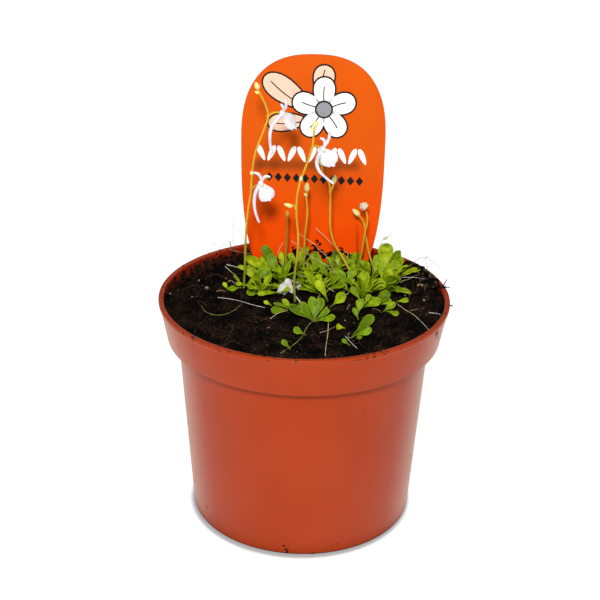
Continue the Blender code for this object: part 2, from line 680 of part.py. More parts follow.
def fits(root, leaf, taken, others):
    """The leaf's own search tree where there is room for it, or nothing where there isn't."""
    shell = blade(root, leaf, BLADE_THICKNESS + 2 * GAP, GAP)
    free = lies_free(shell, root, taken)
    shell.free()
    if not free:
        return None
    thin = blade(root, leaf, BLADE_THICKNESS + GAP, GAP / 2)
    stalk_length = 0.8 * BLADE_STATIONS[1] * leaf[3]
    tree = None if meets(thin, root, stalk_length, others) else BVHTree.FromBMesh(thin)
    thin.free()
    return tree


def tuft_leaves(tuft, taken):
    """The leaves of one tuft, each turned, raised or shortened until it finds room."""
    draw = random.Random(f"{tuft.name} {LEAF_SEED}")
    root = (tuft.x, tuft.y, peat_height(tuft.x, tuft.y) + 0.5 * CROWN_RISE)
    placed, trees = [], []
    for index in range(tuft.leaves):
        share = (index + 0.5) / tuft.leaves - 0.5
        azimuth = tuft.facing + tuft.spread * share + draw.uniform(-10, 10)
        low = index % 2 or tuft.leaves < LEAVES_TO_STAND_UP
        rise = draw.uniform(26, 42) if low else draw.uniform(50, 74)
        size = tuft.length * draw.uniform(0.76, 1.04)
        widest = size * draw.uniform(0.19, 0.25)
        bend = draw.uniform(15, 45)
        cup, roll = draw.uniform(0.05, 0.35), draw.uniform(-0.5, 0.5)
        for attempt in range(LEAF_TRIES):
            leaf = (
                math.radians(azimuth + LEAF_TURN * attempt * (-1) ** attempt),
                math.radians(min(85, rise + 2 * attempt)),
                math.radians(bend), size * 0.985**attempt, widest * 0.975**attempt, cup, roll,
            )
            tree = fits(root, leaf, taken, trees)
            if tree:
                placed.append(leaf)
                trees.append(tree)
                break
    return root, placed


def make_tuft(tuft, taken):
    """A tuft: a short crown that stands in a hole, and the leaves that grow from it."""
    root, leaves = tuft_leaves(tuft, taken)
    ground = peat_height(tuft.x, tuft.y)
    height = CROWN_DEPTH + CROWN_RISE
    bm = bmesh.new()
    bmesh.ops.create_cone(
        bm, cap_ends=True, segments=CROWN_SIDES, radius1=0.6 * CROWN_RADIUS * MM,
        radius2=CROWN_RADIUS * MM, depth=height * MM,
        matrix=Matrix.Translation(at((tuft.x, tuft.y, ground + CROWN_RISE - height / 2))),
    )
    crown = object_from(bm, tuft.name)
    grown = workshop()
    for leaf in leaves:
        object_from(blade(root, leaf, BLADE_THICKNESS, 0.0), "leaf", grown)
    keep_outer_skin(combine(crown, grown, "UNION", "MANIFOLD"))
    taken.append(tree_of(crown))
    return crown


def tree_of(obj):
    """The search tree of an object's surface."""
    bm = bmesh.new()
    bm.from_mesh(obj.data)
    tree = BVHTree.FromBMesh(bm)
    bm.free()
    return tree


def main():
    """Clears the scene and makes every piece."""
    for old in list(bpy.data.objects):
        bpy.data.objects.remove(old)

    pot = make_pot()
    peat = make_peat()
    label = object_from(
        label_plate(0.0, LABEL_THICKNESS, LABEL_TIP_Z, LABEL_TOP_Z), "label"
    )
    stalks = [make_stalk(name) for name in STALK_ROUTES]
    flowers = [make_flower(name) for name in FLOWERS]
    flowers += [make_withered_flower(), make_fallen_flower()]

    taken = [tree_of(piece) for piece in [label, *stalks, *flowers]]
    tufts = [make_tuft(tuft, taken) for tuft in TUFTS]

    holes = workshop()
    crown_hole = CROWN_RADIUS + GAP / math.cos(math.pi / CROWN_SIDES)
    for tuft in TUFTS:
        hole_cutter(tuft.x, tuft.y, crown_hole, CROWN_DEPTH + GAP, CROWN_SIDES, holes)
    for x, y, _ in (route[0] for route in STALK_ROUTES.values()):
        hole_cutter(x, y, STALK_RADIUS + GAP, STALK_DEPTH + GAP, STALK_HOLE_SIDES, holes)
    slot_top = LABEL_PEAT_Z + CUTTER_HEADROOM
    slot = label_plate(GAP, LABEL_THICKNESS + 2 * GAP, LABEL_TIP_Z - GAP, slot_top)
    object_from(slot, "slot", holes)
    combine(peat, holes, "DIFFERENCE")

    looks = (
        ([pot], finish("pot_plastic", POT_COLOUR, 0.4)),
        ([peat], finish("peat", PEAT_COLOUR, 0.95)),
        ([label], finish("label_plastic", LABEL_COLOUR, 0.35)),
        (stalks, finish("stalk", STALK_COLOUR, 0.5)),
        (flowers, finish("petal", PETAL_COLOUR, 0.6)),
        (tufts, finish("leaf", LEAF_COLOUR, 0.45)),
    )
    for pieces, material in looks:
        for piece in pieces:
            piece.data.materials.clear()
            piece.data.materials.append(material)


main()
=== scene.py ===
"""A small potted bladderwort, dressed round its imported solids.

A terracotta-coloured plastic pot of peat, tufts of spoon-shaped leaves, thread-like stalks with
white spurred flowers, and a printed plant label behind them. Lengths are written in millimetres
and scaled by MM, +Z is up, and the front of the pot looks towards -Y.
"""

import math
import random
from collections import namedtuple

import bmesh
import bpy
from bpy.props import FloatProperty, FloatVectorProperty, IntProperty, PointerProperty
from mathutils import Matrix, Vector, noise
from mathutils.bvhtree import BVHTree


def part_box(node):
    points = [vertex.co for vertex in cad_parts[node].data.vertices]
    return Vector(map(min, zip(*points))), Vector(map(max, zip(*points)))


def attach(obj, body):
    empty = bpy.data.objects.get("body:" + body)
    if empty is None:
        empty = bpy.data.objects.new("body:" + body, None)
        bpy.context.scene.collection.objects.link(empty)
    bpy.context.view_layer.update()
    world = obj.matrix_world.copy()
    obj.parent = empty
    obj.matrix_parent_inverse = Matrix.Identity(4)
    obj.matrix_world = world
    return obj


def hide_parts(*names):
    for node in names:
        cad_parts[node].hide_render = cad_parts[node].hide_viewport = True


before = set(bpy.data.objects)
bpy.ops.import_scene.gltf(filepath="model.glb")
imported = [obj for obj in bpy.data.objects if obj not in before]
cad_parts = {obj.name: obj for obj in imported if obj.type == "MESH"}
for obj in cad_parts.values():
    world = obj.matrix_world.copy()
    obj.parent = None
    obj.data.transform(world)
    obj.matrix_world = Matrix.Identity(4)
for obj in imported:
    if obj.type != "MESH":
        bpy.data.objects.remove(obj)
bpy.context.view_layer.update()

bl_info = {
    "name": "Potted Bladderwort",
    "version": (1, 0, 0),
    "blender": (4, 5, 0),
    "location": "3D View > Sidebar > Bladderwort",
    "description": "Builds a potted bladderwort piece by piece",
    "category": "Add Mesh",
}

MM = 0.001
GAP = 0.3  # between neighbouring solids
WELD = 1e-6  # metres

# Pot, from its solid where the solid gives it
POT_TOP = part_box("pot")[1] / MM
RIM_RADIUS = round(POT_TOP.x, 2)
POT_HEIGHT = round(POT_TOP.z, 2)
POT_WALL = 1.0
LIP_WIDTH = 1.5
LIP_DEPTH = 1.5
LIP_OVERHANG = 0.4
COLLAR_DEPTH = 12.7
COLLAR_FOOT_RADIUS = 42.5
BODY_TOP_RADIUS = 39.2
BASE_RADIUS = 35.2
EDGE_ROUND = 0.5
FOOT_RING_WIDTH = 3.0
FLOOR_RISE = 1.5
FLOOR_THICKNESS = 1.2
DRAIN_HOLES = 8
DRAIN_RADIUS = 3.0
DRAIN_CIRCLE_RADIUS = 22.0
DRAIN_SIDES = 28
COLLAR_FOOT_Z = POT_HEIGHT - COLLAR_DEPTH
LEDGE_Z = COLLAR_FOOT_Z + POT_WALL
LEDGE_RADIUS = COLLAR_FOOT_RADIUS - POT_WALL
FLOOR_TOP = FLOOR_RISE + FLOOR_THICKNESS

# Peat
PEAT_LEVEL = 67.4
PEAT_CLEARANCE = 0.35

# Label
LABEL_CENTRE_X = 2.1
LABEL_Y = 31.0
LABEL_BACKWARD_LEAN = 3.0
LABEL_HALF_WIDTH = 23.1
LABEL_TOP_Z = 139.0
LABEL_WIDEST_Z = 111.5
LABEL_PEAT_Z = 70.0
LABEL_PEAT_HALF_WIDTH = 18.9
LABEL_TIP_Z = 30.0
LABEL_TIP_HALF_WIDTH = 2.0
LABEL_SHOULDER_POWER = 2.5

# Leaves, by the rule that grew the solids
BLADE_THICKNESS = 0.6
PETIOLE_HALF_WIDTH = 0.42
BLADE_STATIONS = (0.0, 0.4, 0.64, 0.88, 1.0)
BLADE_END = 0.985
CROWN_RADIUS = 0.9
CROWN_RISE = 0.4
CROWN_DEPTH = 3.5
CROWN_BURIED = 1.0
CROWN_SIDES = 12
LEAVES_TO_STAND_UP = 3
LEAF_TRIES = 24
LEAF_TURN = 9
LEAF_SEED = 5

# Leaves fan out round the direction called facing, in degrees: 0 is to the right, 90 to the back
Tuft = namedtuple("Tuft", "name x y leaves length facing spread")
TUFTS = (
    Tuft("tuft_front", 3.1, -10.2, 10, 10.2, 95, 320),
    Tuft("tuft_front_right", 17.3, -19.0, 4, 8.6, 70, 170),
    Tuft("tuft_front_small", 15.3, -8.3, 3, 5.0, 110, 220),
    Tuft("tuft_single", 9.2, -2.4, 4, 9.4, 75, 230),
    Tuft("tuft_front_left", -3.6, -2.4, 6, 7.6, 150, 240),
    Tuft("tuft_right_small", 27.0, 0.6, 5, 6.8, 20, 300),
    Tuft("tuft_right", 18.6, 5.6, 10, 10.8, 100, 340),
    Tuft("tuft_middle", 5.0, 8.6, 9, 9.2, 80, 340),
    Tuft("tuft_left_small", -20.5, 9.0, 5, 5.4, 190, 320),
    Tuft("tuft_left", -13.6, 9.6, 9, 8.6, 120, 340),
    Tuft("tuft_left_inner", -7.4, 15.6, 9, 10.2, 100, 340),
    Tuft("tuft_right_outer", 26.6, 10.6, 8, 10.4, 60, 330),
    Tuft("tuft_middle_right", 12.4, 14.6, 6, 9.8, 90, 340),
    Tuft("tuft_right_back", 20.8, 18.0, 8, 11.2, 80, 340),
    Tuft("tuft_right_far", 28.6, 19.6, 6, 12.0, 100, 300),
    Tuft("tuft_middle_back", 2.6, 18.4, 9, 9.2, 90, 340),
    Tuft("tuft_back", 10.6, 24.2, 8, 9.2, 200, 340),
    Tuft("tuft_back_right", 16.2, 27.0, 6, 9.0, 120, 300),
    Tuft("tuft_back_left", -2.2, 25.4, 7, 9.0, 130, 320),
    Tuft("tuft_left_back", -12.0, 21.0, 8, 11.0, 110, 320),
    Tuft("tuft_left_outer", -17.4, 15.8, 5, 7.6, 130, 300),
    Tuft("sprig_front", 2.4, -18.8, 1, 6.8, 190, 0),
    Tuft("sprig_front_left", -2.0, -27.8, 1, 6.4, 180, 0),
    Tuft("sprig_front_mid", 11.1, -16.6, 2, 5.4, 60, 180),
    Tuft("sprig_front_far", 14.4, -27.6, 1, 5.6, 150, 0),
)

# Each stalk: the points of its middle line above the peat, as x, y, z
STALK_RADIUS = 0.46
STALK_TAPER = 0.25
STALK_SLENDER = 0.82
STALK_DEPTH = 6.0
PEDICEL_RADIUS = 0.30
STALK_ROUTES = {
    "stalk_left": (
        (-19.4, 15.0, 69.0), (-19.1, 15.4, 74.6), (-18.9, 15.8, 82.5), (-18.2, 16.0, 92.8),
        (-17.2, 16.0, 99.5), (-16.9, 16.0, 104.4), (-15.9, 16.0, 112.1), (-13.0, 16.0, 120.5),
        (-11.9, 16.0, 124.3), (-12.6, 15.8, 127.5), (-14.4, 15.4, 131.6), (-15.1, 15.2, 133.4),
    ),
    "stalk_middle": (
        (-2.9, 5.0, 69.0), (-3.2, 6.0, 74.5), (-2.3, 7.0, 83.3), (-2.2, 8.0, 88.0),
        (-2.9, 8.0, 97.0), (-2.4, 8.0, 103.7), (0.0, 8.0, 111.7), (1.6, 8.0, 117.0),
        (2.0, 8.0, 121.1), (2.3, 8.0, 123.8),
    ),
    "stalk_bud": (
        (-0.4, 18.6, 69.5), (-0.2, 20.0, 76.0), (-0.1, 21.5, 82.5), (0.6, 22.0, 90.5),
        (0.2, 22.0, 96.5), (0.3, 22.0, 98.0),
    ),
    "stalk_bud_behind": (
        (-6.3, 21.5, 69.5), (-6.1, 23.0, 76.0), (-5.8, 24.0, 83.0), (-5.8, 24.0, 88.6),
    ),
    "stalk_right": (
        (15.8, 18.5, 69.8), (12.6, 20.3, 75.5), (10.0, 21.0, 79.5), (8.2, 21.0, 85.0),
        (7.8, 21.0, 92.2), (7.7, 21.0, 98.0), (7.0, 21.0, 101.9), (5.3, 21.0, 104.4),
        (4.7, 21.0, 107.5),
    ),
    "stalk_withered": (
        (18.0, 26.2, 70.4), (18.6, 25.0, 76.5), (19.3, 24.0, 83.5), (19.9, 24.0, 88.0),
        (19.5, 24.0, 90.7),
    ),
    "stalk_right_bud": (
        (22.6, 26.3, 70.6), (20.9, 27.2, 75.5), (19.7, 27.4, 81.0), (18.7, 27.4, 86.0),
        (17.1, 27.2, 88.2),
    ),
}

# Small shoots on a stalk: where they leave it and where they end
SHOOTS = {
    "stalk_left": (
        ((-11.9, 16.0, 124.3), (-10.4, 15.2, 125.6), (-8.2, 14.4, 126.0)),
        ((-17.0, 16.0, 100.3), (-16.3, 15.0, 101.6), (-14.6, 13.6, 103.2)),
    ),
    "stalk_middle": (
        ((1.4, 8.0, 116.5), (2.2, 7.3, 117.9), (4.2, 6.3, 117.8)),
        ((-3.0, 8.0, 97.2), (-3.8, 7.8, 98.6), (-4.6, 7.7, 98.4)),
    ),
    "stalk_right": (((7.7, 21.0, 98.6), (8.5, 20.7, 100.3), (8.7, 20.6, 101.6)),),
}

# Buds on a stalk: centre, half length, half width, and the way they point
BUDS = {
    "stalk_left": (((-15.3, 15.1, 134.0), 1.2, 0.8, (-0.4, 0.0, 1.0)),
                   ((-15.3, 15.2, 131.9), 0.8, 0.5, (-0.9, 0.0, 0.3)),
                   ((-16.9, 15.8, 106.0), 0.8, 0.6, (-0.2, 0.0, 0.9))),
    "stalk_middle": (((2.4, 8.0, 124.5), 1.1, 0.85, (0.2, 0.0, 1.0)),
                     ((1.5, 7.8, 122.8), 0.8, 0.5, (-0.9, 0.0, 0.5)),
                     ((-1.6, 7.8, 107.3), 1.0, 0.6, (0.1, 0.0, 1.0)),
                     ((-5.4, 7.6, 98.6), 1.4, 0.7, (-0.9, 0.0, 0.35))),
    "stalk_bud": (((0.3, 22.0, 99.4), 1.5, 0.85, (0.05, 0.0, 1.0)),
                  ((-0.1, 21.8, 96.9), 0.8, 0.5, (-0.7, 0.0, 0.7))),
    "stalk_bud_behind": (((-5.8, 24.0, 89.4), 1.3, 0.7, (0.0, 0.0, 1.0)),),
    "stalk_right": (((8.8, 20.5, 102.7), 1.5, 0.8, (0.2, 0.0, 1.0)),
                    ((4.7, 21.0, 108.4), 1.3, 0.7, (0.0, 0.0, 1.0))),
    "stalk_right_bud": (((16.3, 27.1, 89.2), 1.6, 0.85, (-0.75, 0.0, 0.75)),),
}

# Each open flower: the lip reaches outward from the throat, droops at its edge, and is spread
# to both sides in the direction called across
SPUR_RADIUS = 0.7
EAR_RADIUS = 0.45
Flower = namedtuple("Flower", "throat spur ears reach outward across half_width droop point")
FLOWERS = {
    "flower_top": Flower(
        throat=(-7.4, 14.2, 125.9),
        spur=((-7.6, 14.1, 125.5), (-9.4, 13.7, 123.7), (-10.9, 13.3, 121.2),
              (-11.3, 12.9, 118.2), (-11.0, 12.5, 115.4), (-10.7, 12.1, 113.4)),
        ears=(((-7.2, 14.1, 126.4), (-6.5, 13.8, 128.2), (-6.9, 13.5, 130.6)),
              ((-7.3, 14.0, 126.4), (-7.1, 13.0, 127.6), (-8.0, 12.4, 129.2))),
        reach=6.2, outward=(0.72, -0.30, -0.36), across=(0.34, 0.75, 0.25), half_width=3.2,
        droop=0.42, point=0.75,
    ),
    "flower_left": Flower(
        throat=(-13.9, 13.0, 103.6),
        spur=((-14.2, 13.1, 103.2), (-15.4, 13.1, 101.0), (-16.0, 12.9, 98.2),
              (-15.8, 12.6, 95.2), (-15.2, 12.3, 92.9), (-14.4, 12.0, 91.0)),
        ears=(((-13.9, 12.9, 103.9), (-14.0, 12.6, 105.7), (-14.9, 12.3, 107.0),
               (-16.4, 12.1, 107.5)),
              ((-13.7, 12.9, 104.0), (-13.0, 12.6, 105.7), (-12.4, 12.4, 106.2),
               (-11.1, 12.2, 106.0))),
        reach=6.3, outward=(0.50, -0.42, -0.76), across=(0.84, 0.28, 0.38), half_width=3.1,
        droop=0.16, point=0.25,
    ),
    "flower_middle": Flower(
        throat=(4.8, 6.0, 117.4),
        spur=((4.5, 6.1, 117.0), (3.5, 6.0, 115.0), (3.1, 5.8, 112.8), (3.9, 5.5, 110.6),
              (5.8, 5.2, 108.7), (8.3, 4.9, 106.8)),
        ears=(((5.0, 5.9, 117.8), (5.9, 5.7, 119.4), (6.6, 5.4, 121.2), (6.6, 5.2, 122.9)),
              ((4.9, 5.9, 117.9), (5.3, 5.6, 119.5), (4.9, 5.3, 120.6), (3.9, 5.1, 121.1))),
        reach=6.4, outward=(0.52, -0.38, -0.62), across=(0.80, 0.20, 0.52), half_width=3.2,
        droop=0.18, point=0.45,
    ),
}
WITHERED_FLOWER_CENTRE = (18.6, 23.9, 92.6)
WITHERED_FLOWER_RADIUS = 1.35
WITHERED_FLOWER_SEED = 4
FALLEN_FLOWER = (-5.2, 10.0)
FALLEN_FLOWER_REACH = 5.6
FALLEN_FLOWER_HALF_WIDTH = 2.7
FALLEN_FLOWER_DROOP = 0.14
FALLEN_FLOWER_CRUMPLE = 0.45
FALLEN_FLOWER_SUNK = 1.1
# Without a seed the vector noise that crumples it would follow the clock
FALLEN_FLOWER_SEED = 1795756762
# Its two halves: which way each one falls, which way it spreads, and its share of the size
FALLEN_HALVES = (
    ((-0.16, -0.30, -0.86), (0.97, 0.05, -0.20), 1.0),
    ((0.62, 0.15, -0.55), (0.55, -0.75, 0.30), 0.66),
)

# Leaves set one by one, by tuft: root x and y, azimuth, rise and bend in degrees, length, half
# width, roll in radians, and tone from deep green to lime
PLACED_LEAVES = {
    "tuft_front": (
        (3.1, -10.2, 98, 62, 18, 7.8, 1.49, -0.1, 0.42), (3.1, -10.2, 61, 60, 18, 7.6, 1.37, 0.5, 0.33),
        (3.1, -10.2, 157, 52, 18, 7.3, 1.52, -0.9, 0.25), (3.1, -10.2, 181, 40, 14, 9.3, 1.56, -1.1, 0.15),
        (3.1, -10.2, 344, 28, 16, 7, 1.14, 1, 0.5), (3.1, -10.2, 12, 46, 18, 5.9, 0.89, 1, 0.35),
        (5.5, -8.9, 43, 62, 10, 3.9, 0.54, 0.7, 0.4),
    ),
    "tuft_front_right": (
        (14.5, -19.5, 0, 54, 14, 9, 1.56, 1.2, 0.18), (14.4, -20.3, 359, 32, 14, 6.4, 1.33, 1, 0.5),
    ),
    "tuft_front_small": (
        (16.5, -5.2, 64, 64, 16, 5.1, 1.3, 0.4, 0.6), (16.6, -8.7, 133, 62, 18, 4, 0.79, -0.7, 0.45),
    ),
    "tuft_single": (
        (8.2, 0.2, 6, 50, 16, 6.5, 1.62, 1.1, 0.78),
    ),
    "tuft_front_left": (
        (-3.6, -2.4, 154, 45, 22, 4.4, 0.92, -0.9, 0.7), (-3.3, -3, 180, 28, 16, 6.6, 0.54, -1, 0.35),
        (-4.5, -2.9, 207, 16, 14, 6.3, 1.3, -0.9, 0.3), (-10.1, 0.5, 155, 26, 14, 2.9, 0.6, -0.9, 0.95),
    ),
    "tuft_right_small": (
        (22.3, 0.9, 7, 28, 18, 5.2, 1.05, 1, 0.55), (24.4, -3.9, 11, 42, 18, 4.5, 1.17, 1, 0.68),
        (25.2, -3.6, 320, 10, 14, 4.9, 0.86, 0.8, 0.55), (28.6, 2.8, 352, 20, 12, 4.2, 0.86, 1, 0.85),
    ),
    "tuft_right": (
        (16.3, 10.3, 34, 62, 18, 7.2, 1.75, 0.9, 0.75), (18.1, 2.8, 146, 50, 24, 5.9, 0.98, -0.8, 0.5),
        (18, -1, 1, 32, 16, 6.4, 1.46, 1, 0.6), (18.8, 0.9, 48, 58, 20, 3.8, 0.86, 0.6, 0.72),
        (21, 0.9, 5, 44, 18, 7, 1.62, 1.1, 0.2), (20.2, 7.9, 21, 44, 18, 7, 1.78, 0.9, 0.7),
    ),
    "tuft_middle": (
        (7.4, 3.2, 146, 62, 22, 7.4, 1.37, -0.8, 0.98),
    ),
    "tuft_left_small": (
        (-24.2, 11.9, 145, 50, 18, 3, 0.67, -0.8, 0.85),
    ),
    "tuft_left": (
        (-7.4, 8.9, 201, 14, 20, 7.9, 0.92, -0.9, 0.75), (-7.8, 8.1, 7, 40, 20, 3.8, 0.63, 1, 0.8),
    ),
    "tuft_left_inner": (
        (-9.9, 13.9, 147, 58, 20, 7.9, 1.97, -0.8, 0.45), (-5.6, 16.3, 57, 60, 18, 3.3, 0.92, 0.5, 0.8),
    ),
    "tuft_right_outer": (
        (22.6, 11.6, 6, 15, 14, 8.2, 1.33, 1, 0.7),
    ),
    "tuft_middle_right": (
        (11.1, 12.9, 174, 48, 20, 4.7, 0.89, -1.1, 0.7), (14.4, 10.1, 165, 52, 20, 4.8, 1.46, -1, 0.66),
        (13.9, 14.3, 153, 60, 22, 5.9, 1.46, -0.9, 0.6), (13.6, 15.2, 40, 64, 20, 5.9, 1.4, 0.8, 0.5),
        (8.8, 18.2, 167, 56, 22, 8.9, 1.81, -1, 0.55),
    ),
    "tuft_right_back": (
        (22.8, 20.3, 78, 70, 14, 8, 1.17, 0.2, 0.7), (22.8, 19.6, 6, 42, 16, 9.8, 2.1, 1, 0.8),
        (24.4, 15.6, 9, 26, 14, 7, 1.84, 1, 0.75),
    ),
    "tuft_right_far": (
        (24.8, 22.1, 61, 70, 16, 11.4, 2.44, 0.5, 0.85), (29.8, 21.5, 58, 62, 14, 6.4, 0.83, 0.5, 0.85),
    ),
    "tuft_middle_back": (
        (5.3, 21.7, 127, 66, 20, 8.3, 1.94, -0.6, 0.42),
    ),
    "tuft_back": (
        (10.2, 26.1, 85, 70, 16, 6.7, 1.46, 0.1, 0.22), (14.4, 22.8, 80, 66, 18, 5.3, 1.3, 0.2, 0.5),
    ),
    "tuft_back_left": (
        (-7, 24.5, 110, 70, 14, 6.4, 0.92, -0.3, 0.9), (-3.9, 22, 8, 16, 14, 4.6, 0.92, 0.9, 0.45),
        (-3, 22.9, 299, 8, 14, 7.5, 0.95, 0.5, 0.6),
    ),
    "tuft_left_back": (
        (-9, 19.2, 122, 68, 18, 8.5, 1.56, -0.5, 0.38), (-8, 22.4, 159, 64, 22, 11, 1.68, -1, 0.3),
        (-13, 24.8, 107, 66, 20, 5.7, 0.92, -0.3, 0.8), (-13.7, 21.9, 154, 48, 20, 7, 1.05, -0.9, 0.92),
        (-16.1, 22.2, 172, 36, 16, 6.3, 0.76, -1, 0.95),
    ),
    "tuft_left_outer": (
        (-19.9, 15.1, 214, 14, 14, 5.2, 0.92, -0.9, 0.5), (-18.7, 16.3, 185, 22, 16, 3.5, 0.73, -1, 0.8),
        (-19.2, 15.9, 18, 38, 18, 4.4, 0.83, 0.9, 0.85), (-20, 16.5, 156, 52, 12, 4.5, 0.48, -0.9, 0.55),
        (-16.4, 17.7, 132, 60, 20, 5.9, 1.3, -0.6, 0.88),
    ),
    "sprig_front": (
        (0.6, -20.3, 181, 34, 12, 4.3, 1.05, -1, 0.5),
    ),
    "sprig_front_left": (
        (-3.9, -28.9, 160, 48, 14, 3.7, 0.79, -1, 0.3),
    ),
    "sprig_front_mid": (
        (12.5, -14.9, 180, 18, 14, 2.9, 0.95, -1, 0.8),
    ),
    "sprig_front_far": (
        (14.7, -23.2, 36, 20, 10, 3.1, 0.54, 0.8, 0.45), (13.5, -25.7, 157, 36, 14, 2.9, 0.6, -0.9, 0.25),
    ),
}

# Tufts whose leaves are all set one by one
OPEN_TUFTS = (
    "tuft_front", "tuft_front_right", "tuft_front_small", "tuft_single", "tuft_front_left",
    "tuft_right_small", "tuft_left_small", "sprig_front", "sprig_front_left",
    "sprig_front_mid", "sprig_front_far",
)

